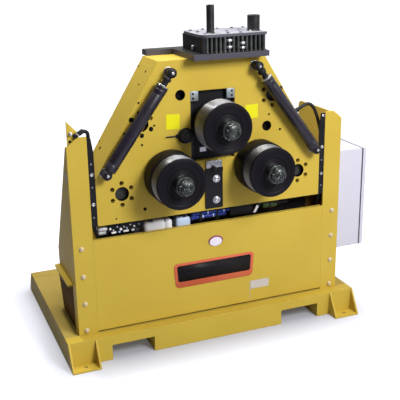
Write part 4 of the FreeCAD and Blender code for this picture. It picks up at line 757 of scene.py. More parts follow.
@dataclass
class RollSet:
    """One roll: threaded shaft nose, slotted locknut, dished disc, polished band and rear ring."""

    name: str
    body: Body
    x: float
    z: float
    ring_radius: float
    ring_front: float
    radius: float = 112.5
    back: float = -386.0
    disc_back: float = -532.0
    face: float = -544.0
    seat: float = 35.0

    def build(self) -> None:
        """Make the set's turned pieces."""
        dark = TurnedSteel(self.name + "_black_turned", "black_steel", (0.007, 0.0065, 0.008),
                           (0.014, 0.012, 0.016), (self.x, self.z), 0.42, metallic=0.2, sheen=0.1)
        # The polished band's two tones differ strongly, so its stripes along the axis are partly a painted
        # reflection.
        bright = TurnedSteel(self.name + "_bright_turned", "polished_steel", (0.42, 0.42, 0.43),
                             (0.12, 0.12, 0.13), (self.x, self.z), 0.5, sweep=0.94)
        self.rings(dark)
        self.band(bright)
        self.locknut()
        self.shaft()

    def base(self, y: float = 0.0) -> Point:
        """Point on the roll's axis."""
        return (self.x, y, self.z)

    def from_face(self, *profile: tuple[float, float]) -> list[tuple[float, float]]:
        """Profile whose distances are counted from the disc's front face."""
        return [(radius, self.face + far) for radius, far in profile]

    def rings(self, finish: Finish) -> None:
        """Rear ring and dished front disc."""
        piece = Piece(self.name + "_discs", finish, self.body)
        rear = [(self.seat, self.ring_front), (self.ring_radius - 3, self.ring_front),
                (self.ring_radius, self.ring_front + 3), (self.ring_radius, self.back - 3),
                (self.ring_radius - 3, self.back), (self.seat, self.back)]
        piece.turn(rear, self.base(), steps=96, closed=True, round_by=0.7)
        disc = self.from_face((self.seat, 0.5), (43.0, 0.5), (47.0, 3.0), (60.0, 3.0), (61.0, 3.8),
                              (62.0, 3.0), (92.0, 3.0), (95.0, 0.0), (109.5, 0.0), (self.radius, 3.0))
        disc += [(self.radius, self.disc_back), (self.seat, self.disc_back)]
        piece.turn(disc, self.base(), steps=96, closed=True, round_by=0.5)
        piece.done(self.name + "_rings")

    def band(self, finish: Finish) -> None:
        """Polished band between the discs."""
        piece = Piece(self.name + "_polished_band", finish, self.body)
        loop = [(self.seat, self.disc_back), (self.radius - 2.0, self.disc_back),
                (self.radius, self.disc_back + 2.0), (self.radius, self.ring_front - 2.0),
                (self.radius - 2.0, self.ring_front), (self.seat, self.ring_front)]
        piece.turn(loop, self.base(), steps=96, closed=True, round_by=0.6)
        piece.done(self.name + "_band")

    def locknut(self) -> None:
        """Spacer collar and slotted locknut."""
        piece = Piece(self.name + "_collar_and_nut", NOSE, self.body)
        collar = self.from_face((28.0, 0.0), (43.0, 0.0), (43.0, -8.0), (41.5, -9.5), (41.5, -13.0),
                                (43.0, -14.5), (43.0, -35.0), (40.0, -38.0), (28.0, -38.0))
        piece.turn(collar, self.base(), steps=72, closed=True, round_by=0.6)
        nut = self.from_face((28.0, -38.0), (32.0, -38.0), (34.0, -40.0), (34.0, -56.0), (31.5, -58.0),
                             (28.0, -58.0))
        made = piece.turn(nut, self.base(), steps=48, closed=True)
        self.notch(made)
        piece.done(self.name + "_locknut")

    def notch(self, verts: list) -> None:
        """Press six spanner slots into the nut's rim."""
        slots, slot_width, slot_depth, rim = 6, 18.0, 4.5, 31.0
        share = 360.0 / slots
        for vert in verts:
            offset = vert.co - Vector(self.base(vert.co.y))
            angle = math.degrees(math.atan2(offset.z, offset.x)) % share
            in_slot = abs(angle - share / 2) < slot_width / 2
            if offset.length > rim and vert.co.y < self.face - 39.0 and in_slot:
                vert.co -= offset.normalized() * slot_depth

    def shaft(self) -> None:
        """Shaft with a ridged thread on its nose and a centre drilling."""
        piece = Piece(self.name + "_spindle", NOSE, self.body)
        nose, ridges, pitch = self.face - 66.6, 8, 2.0
        profile = [(0.0, nose + 5.0), (2.0, nose + 4.0), (4.5, nose), (22.5, nose), (25.5, nose + 2.0)]
        for step in range(ridges):
            y = nose + pitch * (step + 1)
            profile += [(27.4, y), (26.2, y + pitch / 2)]
        profile += [(27.4, nose + 18.0), (27.4, self.face), (self.seat, self.face), (self.seat, self.back),
                    (46.0, self.back), (46.0, -376.5), (40.0, -376.5), (40.0, -330.0), (0.0, -330.0)]
        piece.turn(profile, self.base(), steps=64)
        piece.done()


# ---- hoses


@dataclass
class HoseRun:
    """One oil hose along its route, with crimped sleeves at its ends."""

    name: str
    route: Sequence[Point]
    length: float
    diameter: float = 16.0

    def build(self, *stands_for: str) -> bpy.types.Object:
        """Make the hose as a smooth curve with a round section, and its crimped sleeves.

        Args:
            stands_for: CAD nodes that it replaces.

        Returns:
            The hose's curve object.
        """
        data = bpy.data.curves.new(self.name, "CURVE")
        data.dimensions = "3D"
        data.bevel_depth = self.diameter / 2 * MM
        data.bevel_resolution = 6
        data.resolution_u = 10
        data.use_fill_caps = True
        line = data.splines.new("NURBS")
        line.points.add(len(self.route) - 1)
        for knot, place in zip(line.points, self.route):
            knot.co = (*(Vector(place) * MM), 1.0)
        line.order_u = 3
        line.use_endpoint_u = True
        made = settle(linked(self.name, data), Body.FRAME, HOSE, *stands_for)
        first, second, before, last = (Vector(self.route[i]) for i in (0, 1, -2, -1))
        sleeves = [crimp(self.name + "_first_sleeve", first, second - first, BLACKENED),
                   crimp(self.name + "_last_sleeve", last, before - last, ZINC)]
        return made


LEFT_ROUTE: Sequence[Point] = (
    (-601.41, -375.0, 1040.0), (-590.59, -375.0, 1046.25), (-576.39, -371.0, 1046.95),
    (-563.59, -364.0, 1038.25), (-558.5, -352.0, 1018.0), (-557.0, -344.0, 982.0), (-558.0, -342.0, 912.0),
    (-559.0, -343.0, 806.0), (-558.5, -342.0, 700.0), (-557.0, -339.0, 625.0), (-543.0, -327.0, 562.0),
    (-509.0, -308.0, 508.0), (-457.0, -293.0, 470.0), (-403.0, -287.0, 450.0), (-353.0, -287.0, 450.0))
RIGHT_ROUTE: Sequence[Point] = (
    (449.03, -300.0, 1019.43), (477.15, -300.0, 1036.71), (512.0, -300.0, 1053.0), (538.0, -300.0, 1046.0),
    (557.0, -301.0, 1019.0), (576.0, -308.0, 958.0), (587.0, -328.0, 860.0), (583.0, -340.0, 750.0),
    (579.0, -337.0, 640.0), (566.0, -320.0, 530.0), (545.0, -299.0, 435.0), (545.0, -299.0, 370.0))


def aim(direction: Point) -> Matrix:
    """Turn that takes +Z onto a direction."""
    return Vector(direction).to_track_quat("Z", "Y").to_matrix().to_4x4()


def crimp(name: str, start: Point, direction: Point, finish: Finish,
          length: float = 22.0) -> bpy.types.Object:
    """Crimped sleeve with its swivel nut round the start of a hose.

    Args:
        name: Name of the piece.
        start: Point where the hose leaves its union.
        direction: Direction in which it leaves.
        finish: Finish of the sleeve.
        length: Length of the sleeve.

    Returns:
        The finished sleeve.
    """
    piece = Piece(name, finish)
    piece.hexagon(19.0, (0, 0, -4.0), Axis.UP, 8.0)
    loop = [(7.0, 3.0), (9.6, 3.0), (10.4, 4.5), (10.4, 7.0), (9.7, 8.0), (10.4, 9.0), (10.4, 12.0),
            (9.7, 13.0), (10.4, 14.0), (10.4, 18.0), (9.7, 19.0), (10.2, 20.0), (10.2, length - 1.5),
            (9.2, length), (7.0, length)]
    piece.turn(loop, (0, 0, 0), Axis.UP, 32, closed=True)
    piece.lay(Matrix.Translation(Vector(start)) @ aim(direction))
    return piece.done()


class HoseFittings:
    """Unions at the hose ends, the peaked bracket and its bulkhead unions."""

    def build(self) -> None:
        """Make the bracket and the unions."""
        self.bracket()
        self.unions()

    def bracket(self) -> None:
        """Peaked bracket behind the left post's flange."""
        plate = Piece("hose_bracket_plate", MUSTARD)
        plate.prism([(-652, -366, 930), (-600, -366, 930), (-600, -366, 1022), (-609, -366, 1047),
                     (-652, -366, 1094)], (0, 6, 0), 0.8)
        plate.done("hose_bracket")
        black = Piece("bulkhead_elbow", BLACKENED)
        black.hexagon(19.0, (-617, -366, 1031), Axis.FRONT, 7.0)
        black.rod(9.0, (-617, -373, 1031), Axis.FRONT, 11.0, 2.0)
        dome = [(0, 0), (7, 0), (8.5, 1.5), (8.5, 5), (6, 6.5), (0, 6.5)]
        black.turn(dome, (-640, -360, 1007), Axis.FRONT, 24)
        black.done("hose_bracket")
        pale = Piece("bulkhead_plug", ZINC)
        pale.ring(5.0, 8.5, (-636.8, -366, 1040), Axis.FRONT, 2.0)
        pale.hexagon(13.0, (-636.8, -368, 1040), Axis.FRONT, 9.0)
        pale.rod(5.5, (-636.8, -377, 1040), Axis.FRONT, 7.0, 1.2)
        before = list(pale.mesh.verts)
        pale.rod(6.5, (0, 0, 0), Axis.UP, 18.0, 1.0, 20)
        pale.lay(Matrix.Translation((-617, -375, 1031)) @ aim((0.866, 0.0, 0.5)), before)
        pale.done("hose_bracket")

    def unions(self) -> None:
        """Unions at the valve block, the head's slope and the shelf."""
        piece = Piece("hose_unions", ZINC)
        piece.hexagon(17.0, (-335, -287, 450), Axis.LEFT, 8.0)
        piece.rod(8.0, (-343, -287, 450), Axis.LEFT, 10.0, 1.0)
        piece.hexagon(17.0, (545, -299, 345), Axis.UP, 8.0)
        piece.rod(8.0, (545, -299, 353), Axis.UP, 17.0, 1.0)
        before = list(piece.mesh.verts)
        piece.hexagon(17.0, (0, 0, 0), Axis.UP, 8.0)
        piece.rod(8.0, (0, 0, 8), Axis.UP, 10.0, 1.0)
        foot = Vector(RIGHT_ROUTE[0]) - 18.0 * Vector(SLOPE)
        piece.lay(Matrix.Translation(foot) @ aim(SLOPE), before)
        piece.done("hydraulic_hoses")


# ---- head


@dataclass
class HeadDetails:
    """Closing caps, weld nuts, screws, blank labels, bars' bolts and gib blocks on the head.

    Attributes:
        inner: Plane of the front plate's back.
        half_width: Half of the head's width at its shoulder, from where slope_run by slope_rise leads up.
        bar_front: Plane of the side bars; centre_bar and centre_block are those below the window.
    """

    inner: float = -349.0
    bolt_circle: float = 49.0
    half_width: float = 545.0
    shoulder: float = 829.0
    slope_run: float = 297.0
    slope_rise: float = 483.0
    bar_front: float = -372.0
    centre_bar: float = -382.0
    centre_block: float = -384.0
    sockets: Sequence[tuple[float, float]] = ((-430, 754), (430, 754), (-330, 1050), (292, 1128))
    sights: Sequence[tuple[float, float]] = ((-151, 1161), (265, 986))
    plugs: Sequence[Point] = ((-375, 1075, 10.5), (-288, 1027, 10.0), (-273, 1040, 5.0), (-341, 1101, 8.0),
                              (-329, 1003, 8.5), (-408, 1018, 5.0), (-331, 961, 5.5), (-339, 1144, 5.0),
                              (-329, 671, 8.0), (-461, 645, 4.0), (276, 1038, 5.0), (333, 963, 6.0))
    slope_holes: Sequence[Point] = ((-238, 933, 8.0), (-190, 952, 5.0), (-190, 1270, 6.0),
                                    (-302, 1262, 6.0), (-302, 1209, 5.0))
    wide_bolts: Sequence[Point] = ((-559, 856, 8.5), (-559, 724, 8.5), (559, 853, 7.5), (559, 723, 7.5),
                                   (561, 1004, 6.5))
    small_bolts: Sequence[Point] = ((-559, 902, 4.5), (-559, 800, 4.5), (-559, 664, 4.5), (559, 790, 4.0),
                                    (559, 664, 4.0))

    def build(self) -> None:
        """Make all pieces on the head's plates."""
        self.socket_backs()
        self.screw_plugs()
        self.slope_plugs()
        self.labels()
        self.bar_and_block()
        self.side_bar_bolts()
        self.guides_and_gibs()

    def socket_backs(self) -> None:
        """Caps behind the bores, tapped nuts behind the bolt holes, and black linings and rings at the holes
        that paint the holes' shade.
        """
        caps = Piece("socket_closing_caps", BORE)
        nuts = Piece("socket_weld_nuts", HOLE)
        rims = Piece("holes_painted_shade", HOLE)
        bolts = round_the_circle(6, self.bolt_circle, math.pi / 2)
        for x, z in self.sockets:
            caps.turn([(0, 0), (38, 0), (38, 5), (36, 7), (0, 7)], (x, self.inner, z))
            # Painted shade: a thin black lining inside each bore and a black ring round each bolt hole.
            rims.ring(31.2, 31.49, (x, FRONT, z), Axis.BACK, 25.0)
            for dx, dz in bolts:
                nuts.hexagon(18.0, (x + dx, self.inner, z + dz), Axis.BACK, 10.0)
                rims.ring(6.8, 9.6, (x + dx, FRONT, z + dz), Axis.FRONT, 0.4, steps=28)
        for x, z in self.sights:
            nuts.turn([(0, 0), (26, 0), (26, 5), (24, 7), (0, 7)], (x, self.inner, z))
            rims.ring(20.2, 20.99, (x, FRONT, z), Axis.BACK, 25.0)
            rims.ring(20.2, 23.0, (x, FRONT, z), Axis.FRONT, 0.4)
        caps.done()
        nuts.done()
        rims.done()

    def screw_plugs(self) -> None:
        """Oily set screws in the plate's small tapped holes."""
        piece = Piece("plate_set_screws", HOLE)
        for x, z, radius in self.plugs:
            piece.turn(set_screw(radius, 0.15, 0.6, 0.2, -1.0), (x, FRONT, z), Axis.FRONT, 28)
        piece.done()

    def slope_plugs(self) -> None:
        """Set screws in both slanted sides."""
        piece = Piece("slope_set_screws", HOLE)
        for side in (-1, 1):
            square = aim((side * SLOPE[0], SLOPE[1], SLOPE[2]))
            for y, z, radius in self.slope_holes:
                before = list(piece.mesh.verts)
                piece.turn(set_screw(radius, 0.2, 1.0, 0.4, -2.0), (0, 0, 0), Axis.UP, 28)
                x = side * (self.half_width - (z - self.shoulder) * self.slope_run / self.slope_rise)
                piece.lay(Matrix.Translation((x, y, z)) @ square, before)
        piece.done()

    def labels(self) -> None:
        """Blank lemon labels on the front and a blank pale one on the left post."""
        piece = Piece("blank_lemon_labels", LABEL_LEMON)
        for outline in (((-220, 1016), (-157, 1013), (-155, 1080), (-218, 1083)),
                        ((158, 1026), (221, 1028), (220, 1092), (158, 1090))):
            piece.prism([(x, FRONT, z) for x, z in outline], (0, -0.5, 0))
        piece.done()
        Piece("blank_post_label", LABEL_GREY).blocks(((-660.5, -354, 824), (-660, -318, 868))).done()

    def bar_and_block(self) -> None:
        """Bolts and lap of the centre bar, ribs and knob of the pale block, bare patch on the shield."""
        bolts = Piece("centre_bar_bolts", ZINC)
        head = [(0, 5.5), (5.5, 5.5), (5.5, 11), (9, 11), (11.5, 9.5), (12.5, 7), (12.5, 2.5), (0, 2.5)]
        for z in (770.0, 670.0):
            bolts.ring(6.0, 17.5, (10, self.centre_bar, z), Axis.FRONT, 2.5, 0.5)
            bolts.turn(head, (10, self.centre_bar, z), Axis.FRONT, 32)
        bolts.done()
        knob = Piece("centre_block_knob", BLACK_GRIP)
        grip = [(0, 0), (7, 0), (7, 3), (10, 5), (10, 11), (8, 13), (0, 13)]
        knob.turn(grip, (-4, self.centre_block, 821), Axis.FRONT, 32)
        knob.done()
        ribs = Piece("centre_block_ribs", GROUND)
        for x in (-35, -21, -7, 7, 21):
            ribs.block((x, self.centre_block - 1.2, 826), (x + 9, self.centre_block, 854), 0.4)
        ribs.done()
        lap = Piece("centre_bar_lap", BLACKENED)
        lap.blocks(((-42, -386, 800), (42, self.centre_bar, 823)), round_by=0.6).done()
        patch = Piece("shield_bare_patch", ZINC, Body.SLIDE)
        patch.blocks(((-54, -348.98, 894), (-24, -348.9, 914))).done()

    def side_bar_bolts(self) -> None:
        """Domed bolts that hold the bars beside the head."""
        for name, finish, places in (("side_bar_bolts", ZINC, self.wide_bolts),
                                     ("side_bar_screws", COVER_SCREW, self.small_bolts)):
            piece = Piece(name, finish)
            for x, z, radius in places:
                head = [(0, 1.5), (radius * 0.45, 1.5), (radius * 0.5, radius * 0.7),
                        (radius * 0.8, radius * 0.65), (radius, radius * 0.35), (radius, 0), (0, 0)]
                piece.turn(head, (x, self.bar_front, z), Axis.FRONT, 28)
            piece.done()

    def guides_and_gibs(self) -> None:
        """Oiled guides, pale gib blocks and their screws."""
        guides = Piece("oiled_slide_guides", GUIDE)
        gibs = Piece("gib_blocks", GIB)
        for side in (-1, 1):
            guides.sided(side, (84.1, self.inner, 862), (124.1, -202, 1175), 1.0)
            gibs.sided(side, (67, FRONT, 1129), (105, -356, 1173), 1.0)
        guides.done("slide_guides")
        gibs.done("slide_guides")
        piece = Piece("gib_screws", HOLE)
        screw = [(0, 0.3), (2.4, 0.3), (2.6, 1.4), (4.4, 1.4), (5, 0.8), (5, -1), (0, -1)]
        for side in (-1, 1):
            for z in (1161, 1141):
                piece.turn(screw, (side * 92, FRONT, z), Axis.FRONT, 24)
        piece.done()


@dataclass
class ParkedCylinder:
    """Guide-arm cylinder pinned to the head plate, built on +Z from its low pin and then laid over."""

    name: str
    side: int
    low: tuple[float, float] = (503.0, 857.0)
    high: tuple[float, float] = (202.0, 1265.0)
    axis_y: float = -410.0

    def build(self) -> None:
        """Make barrel, bright ring, rod and pins."""
        length = math.hypot(self.low[0] - self.high[0], self.high[1] - self.low[1])
        self.barrel(length)
        self.gland(length)
        self.rod(length)
        self.pins()

    def line(self) -> Matrix:
        """Place of the cylinder's line, for pieces built on +Z."""
        lean = math.atan2(self.low[0] - self.high[0], self.high[1] - self.low[1])
        place = Matrix.Translation((self.side * self.low[0], self.axis_y, self.low[1]))
        return place @ Matrix.Rotation(-self.side * lean, 4, "Y")

    def eye(self, piece: Piece, z: float) -> None:
        """Round eye about a pin."""
        loop = [(10.1, 0.0), (19.0, 0.0), (21.0, 2.0), (21.0, 28.0), (19.0, 30.0), (10.1, 30.0)]
        piece.turn(loop, (0, -15, z), steps=48, closed=True)

    def barrel(self, length: float) -> None:
        """Tube with stepped ends and its low eye."""
        piece = Piece(self.name + "_tube", BARREL)
        top = length - 62.0
        piece.turn([(0, 21), (24.5, 21), (27, 23.5), (27, 52), (26.0, 53.5), (26.0, 55.5), (26.6, 57),
                    (26.6, top - 46), (26.0, top - 44.5), (26.0, top - 42.5), (27, top - 41), (27, top - 24),
                    (26.2, top - 23), (26.2, top - 21), (27, top - 20), (27, top - 8), (25.5, top - 6),
                    (0, top - 6)], (0, 0, 0), Axis.UP, 56)
        piece.block((-17, -12, 13), (17, 12, 24), 2.0)
        self.eye(piece, 0.0)
        for z in (44.0, top - 32.0):
            piece.rod(6.5, (0, -27.5 + 7.0, z), Axis.BACK, 41.0)
        piece.lay(self.line())
        piece.done("guide_cylinder_barrels")

    def gland(self, length: float) -> None:
        """Bright wiper ring at the rod's end of the tube."""
        piece = Piece(self.name + "_wiper_ring", ZINC)
        loop = [(13.1, 0), (25.0, 0), (26.8, 1.0), (26.8, 4.0), (25.0, 5.5), (13.1, 6)]
        piece.turn(loop, (0, 0, length - 68.0), Axis.UP, 56, closed=True)
        piece.lay(self.line())
        piece.done("guide_cylinder_barrels")

    def rod(self, length: float) -> None:
        """Blackened rod with its lock nut and upper eye."""
        piece = Piece(self.name + "_rod", BLACKENED)
        piece.rod(13.0, (0, 0, length - 70.0), Axis.UP, 56.0, 0.0, 40)
        piece.hexagon(34.0, (0, 0, length - 38.0), Axis.UP, 13.0)
        self.eye(piece, length)
        piece.lay(self.line())
        piece.done("guide_cylinder_rods")

    def pins(self) -> None:
        """Shouldered pins with washers and bright domed ends."""
        dark = Piece(self.name + "_pins", BLACKENED)
        bright = Piece(self.name + "_washers", ZINC)
        pin = [(0, 0), (18, 0), (18, 19), (16, 21), (10, 21), (10, 51), (14.5, 51), (16, 52.5), (16, 54),
               (14.5, 55), (0, 55)]
        dome = [(0, 0), (6.5, 0), (6.5, 5), (4.5, 7.5), (0, 8)]
        for x, z in (self.low, self.high):
            foot = (self.side * x, FRONT, z)
            dark.turn(pin, foot, Axis.FRONT, 40)
            bright.ring(18.2, 21.5, foot, Axis.FRONT, 2.0, 0.5)
            bright.turn(dome, (self.side * x, FRONT - 55.0, z), Axis.FRONT, 24)
        dark.done("guide_cylinder_pins")
        bright.done("guide_cylinder_pins")


# ---- panel


@dataclass
class PanelDetails:
    """Bolts with washers, the bare name plate, badge and label of the front panel."""

    bolt_x: float = 623.75
    heights: Sequence[float] = (528.5, 398.5, 268.5, 138.5)

    def build(self) -> None:
        """Make the panel's small pieces."""
        self.bolts()
        self.name_plate()
        self.badge_and_label()

    def bolts(self) -> None:
        """Flanged bolts in both edges of the panel."""
        piece = Piece("panel_flange_bolts", PAINTED_BOLT)
        bolt = [(0, -13), (5, -13), (5, 0), (11.5, 0), (11.5, 1.6), (9.5, 2.8), (9.0, 2.8), (8.6, 6.5),
                (6.8, 8.0), (3.6, 8.6), (3.4, 7.6), (0, 7.6)]
        for side in (-1, 1):
            for z in self.heights:
                piece.turn(bolt, (side * self.bolt_x, FRONT, z), Axis.FRONT, 32)
        piece.done("panel_bolts")

    def name_plate(self) -> None:
        """Bare black plate on a plain red rim that is wider at its foot."""
        rim = ((-203, 372), (-190, 384), (190, 384), (203, 372), (196, 276), (182, 263), (-182, 263),
               (-196, 276))
        face = ((-187, 366), (-180, 372), (180, 372), (187, 366), (183, 299), (176, 292), (-176, 292),
                (-183, 299))
        for name, finish, outline, y, thick in (("bare_plate_rim", SIGN_RED, rim, FRONT, 1.6),
                                                ("bare_plate_face", SIGN_BLACK, face, FRONT - 1.6, 0.9)):
            piece = Piece(name, finish)
            piece.prism([(x, y, z) for x, z in outline], (0, -thick, 0), 0.3)
            piece.done()

    def badge_and_label(self) -> None:
        """Round pale badge with a maroon rim, and a blank grey label."""
        centre = Vector((7, FRONT, 468))
        squash = Matrix.Diagonal((1.0, 1.0, 0.7, 1.0))
        squash = Matrix.Translation(centre) @ squash @ Matrix.Translation(-centre)
        rim = Piece("bare_badge_rim", BADGE_MAROON)
        rim.turn([(0, 0), (37, 0), (37, 1.0), (36, 1.4), (0, 1.4)], centre, Axis.FRONT, 64)
        rim.lay(squash)
        rim.done()
        face = Piece("bare_badge_face", BADGE_PALE)
        face.turn([(0, 1.2), (31, 1.2), (31, 1.8), (0, 2.2)], centre - Vector((0, 0, 5)), Axis.FRONT, 64)
        face.lay(squash)
        face.done()
        label = Piece("blank_grey_label", LABEL_GREY)
        label.blocks(((186, FRONT - 0.5, 190), (284, FRONT, 232)),
                     ((183, FRONT - 0.5, 134), (185.5, FRONT, 232))).done()


# ---- cap unit


@dataclass
class CapUnit:
    """Jam nuts, collars, screws and tube fillets about the manifold on the head."""

    row_x: tuple[float, float] = (-42.0, 224.0)
    row_y: float = -419.0
    rear_y: float = -206.0
    cover_top: float = 1414.0
    cap_top: float = 1336.0

    def build(self) -> None:
        """Make the cap unit's small pieces."""
        bright = Piece("cap_bright_nuts", ZINC)
        for x, z in ((60.3, 1380), (60.3, 1352), (121.7, 1366), (121.7, 1346)):
            bright.hexagon(24.0, (x, self.row_y, z), Axis.UP, 10.0)
        bright.hexagon(20.0, (-66, -320, 1352), Axis.LEFT, 5.5)
        bright.done()
        self.stud_collars()
        self.cover_trim()

    def stud_collars(self) -> None:
        """Collars round the feet of the tie studs, in a front, a rear and a right-hand row."""
        piece = Piece("stud_collars", STUD)
        start, end = self.row_x
        columns, rows = 14, 12
        places = []
        for step in range(columns):
            x = start + (end - start) / (columns - 1) * step
            places += [(x, self.row_y), (x, self.rear_y)]
        for step in range(1, rows - 1):
            places.append((end, self.row_y + (self.rear_y - self.row_y) / (rows - 1) * step))
        for x, y in places:
            piece.ring(6.0, 9.6, (x, y, self.cap_top), Axis.UP, 4.0, 0.5, 24)
        piece.done()

    def cover_trim(self) -> None:
        """Screws of the cover plate and fillets at the feet of its two tubes."""
        screws = Piece("cover_screws", COVER_SCREW)
        for x, y in ((-42, -398), (60, -409), (120, -409), (160, -225), (90, -222), (20, -222), (-42, -230),
                     (216, -300), (216, -225), (150, -330), (90, -330), (-40, -310)):
            screws.turn(socket_head(6.5, 6.0, 2.4), (x, y, self.cover_top), Axis.UP, 24)
        screws.done()
        feet = Piece("tube_foot_fillets", TUBE)
        for x, y, radius in ((-4, -368, 17.0), (204, -357.5, 27.5)):
            fillet = [(radius, 0), (radius + 4, 0), (radius + 1.5, 1.5), (radius, 4)]
            feet.turn(fillet, (x, y, self.cover_top), Axis.UP, 48, closed=True)
        feet.done()


# ---- below the head


@dataclass
class ServiceRail:
    """Angle under the head's bottom plate with fittings, rigid pipes and clips, seen above the panel."""

    low: float = 614.0

    def build(self) -> None:
        """Make the rail and what hangs on it."""
        self.rail()
        self.splash_plate()
        self.fittings()
        self.blue_pipes()
        self.right_end()

    def rail(self) -> None:
        """Black angle under the head with its drop plates, tray, deep blocks and clips; the plates, tray and
        blocks are black to stand in for the shade under the head, a painted shade.
        """
        piece = Piece("service_rail_and_shade_blocks", BLACKENED)
        # Painted shade: black plates, a tray and blocks fill the dark space under the head.
        piece.blocks(((-540, -348, self.low), (410, -262, 622)),
                     ((-540, -268, 588), (410, -262, self.low)),
                     ((-92, -269, 512), (536, -261, self.low + 8)),
                     ((-536, -269, 540), (-342, -261, self.low)),
                     ((-536, -352, 538), (-330, -269, 552)), round_by=1.0)
        piece.block((-497, -345, 576), (-330, -312, self.low), 3.0)
        piece.block((96, -344, 566), (212, -300, self.low), 4.0)
        for x in (-300, -140, 60, 235, 330):
            piece.block((x, -346, 596), (x + 14, -290, self.low), 1.5)
        piece.done()

    def splash_plate(self) -> None:
        """Brown plate in the gap towards the right post, a painted shade standing in for the right web's
        shaded inner face.
        """
        # Painted shade: a brown plate where the right web's inner face lies in shade.
        plate = Piece("right_painted_shade_plate", SHADE_BROWN)
        plate.blocks(((537, -269, 512), (650, -261, 618)), round_by=1.0).done()

    def fittings(self) -> None:
        """Ribbed couplings and small plugs at the left end."""
        ribbed = Piece("ribbed_couplings", STUD_PALE)
        for y, z in ((-343, 596), (-336, 577), (-318, 594)):
            profile = [(0.0, 0.0), (8.0, 0.0)]
            for step in range(5):
                x = 3.0 + 7.0 * step
                profile += [(9.0, x), (11.5, x + 1.5), (11.5, x + 4.0), (9.0, x + 5.5)]
            profile += [(8.0, 40.0), (0.0, 40.0)]
            ribbed.turn(profile, (-538, y, z), Axis.RIGHT, 28)
        ribbed.done()
        carrier = Piece("coupling_clamp", BLACKENED)
        carrier.blocks(((-504, -350, 566), (-496, -290, self.low)),
                       ((-528, -340, 608), (-512, -290, self.low)), round_by=2.0).done()
        white = Piece("white_plugs", WHITE_COIL)
        blue = Piece("blue_plugs", BLUE_COIL)
        for x, z, radius, kind in ((-484, 592, 5, white), (-470, 584, 3, white), (-452, 598, 4, blue),
                                   (-436, 585, 6, white), (-421, 594, 3, white), (-408, 586, 4, blue),
                                   (-392, 600, 3, white), (-374, 590, 5, white), (-352, 597, 3, blue)):
            plug = [(0, 0), (radius, 0), (radius, 4), (radius * 0.7, 6), (0, 6)]
            kind.turn(plug, (x, -345, z), Axis.FRONT, 20)
        for x, width, kind in ((-478, 22, white), (-446, 10, blue), (-424, 26, white), (-386, 14, white)):
            kind.block((x, -343, 566), (x + width, -326, 577), 2.0)
        white.done()
        blue.done()

    def blue_pipes(self) -> None:
        """Rigid blue pipes under the middle of the head with their clips."""
        piece = Piece("blue_pipes", BLUE_PIPE)
        for y, z, start, end in ((-338, 600, -92, 92), (-336, 582, -96, 74), (-318, 592, -88, 60),
                                 (-320, 574, -92, 40), (-302, 600, -80, 96)):
            piece.rod(8.5, (start, y, z), Axis.RIGHT, end - start, 2.0, 24)
            piece.hexagon(20.0, (start - 2, y, z), Axis.RIGHT, 9.0)
        piece.done()
        clips = Piece("pipe_clips", BLACK_GRIP)
        for x in (-60, 24):
            clips.block((x, -348.5, 562), (x + 10, -294, self.low), 3.0)
        clips.done()
        seams = Piece("pipe_sleeves", BLUE_COIL)
        for x, y, z in ((-20, -338, 600), (60, -338, 600), (-44, -336, 582), (8, -336, 582)):
            seams.ring(8.4, 9.3, (x, y, z), Axis.RIGHT, 5.0)
        seams.done()

    def right_end(self) -> None:
        """Strap, green accumulator and dark pipe towards the right post."""
        strap = Piece("white_strap", WHITE_COIL)
        strap.prism([(212, -345, 566), (226, -345, 566), (254, -345, 613), (240, -345, 613)], (0, 4, 0), 0.8)
        strap.done()
        green = Piece("green_accumulator", GREEN_PAINT)
        bottle = [(0, 0), (12, 0), (17, 4), (19, 10), (19, 68), (17, 74), (12, 78), (0, 78)]
        green.turn(bottle, (268, -322, 592), Axis.RIGHT, 40)
        green.done()
        dark = Piece("accumulator_neck", BLACKENED)
        dark.rod(8.0, (346, -322, 592), Axis.RIGHT, 60.0, 1.0, 24)
        dark.hexagon(22.0, (352, -322, 592), Axis.RIGHT, 12.0)
        dark.ring(18.8, 21.5, (300, -322, 592), Axis.RIGHT, 10.0, 0.6)
        dark.done()


# ---- power pack


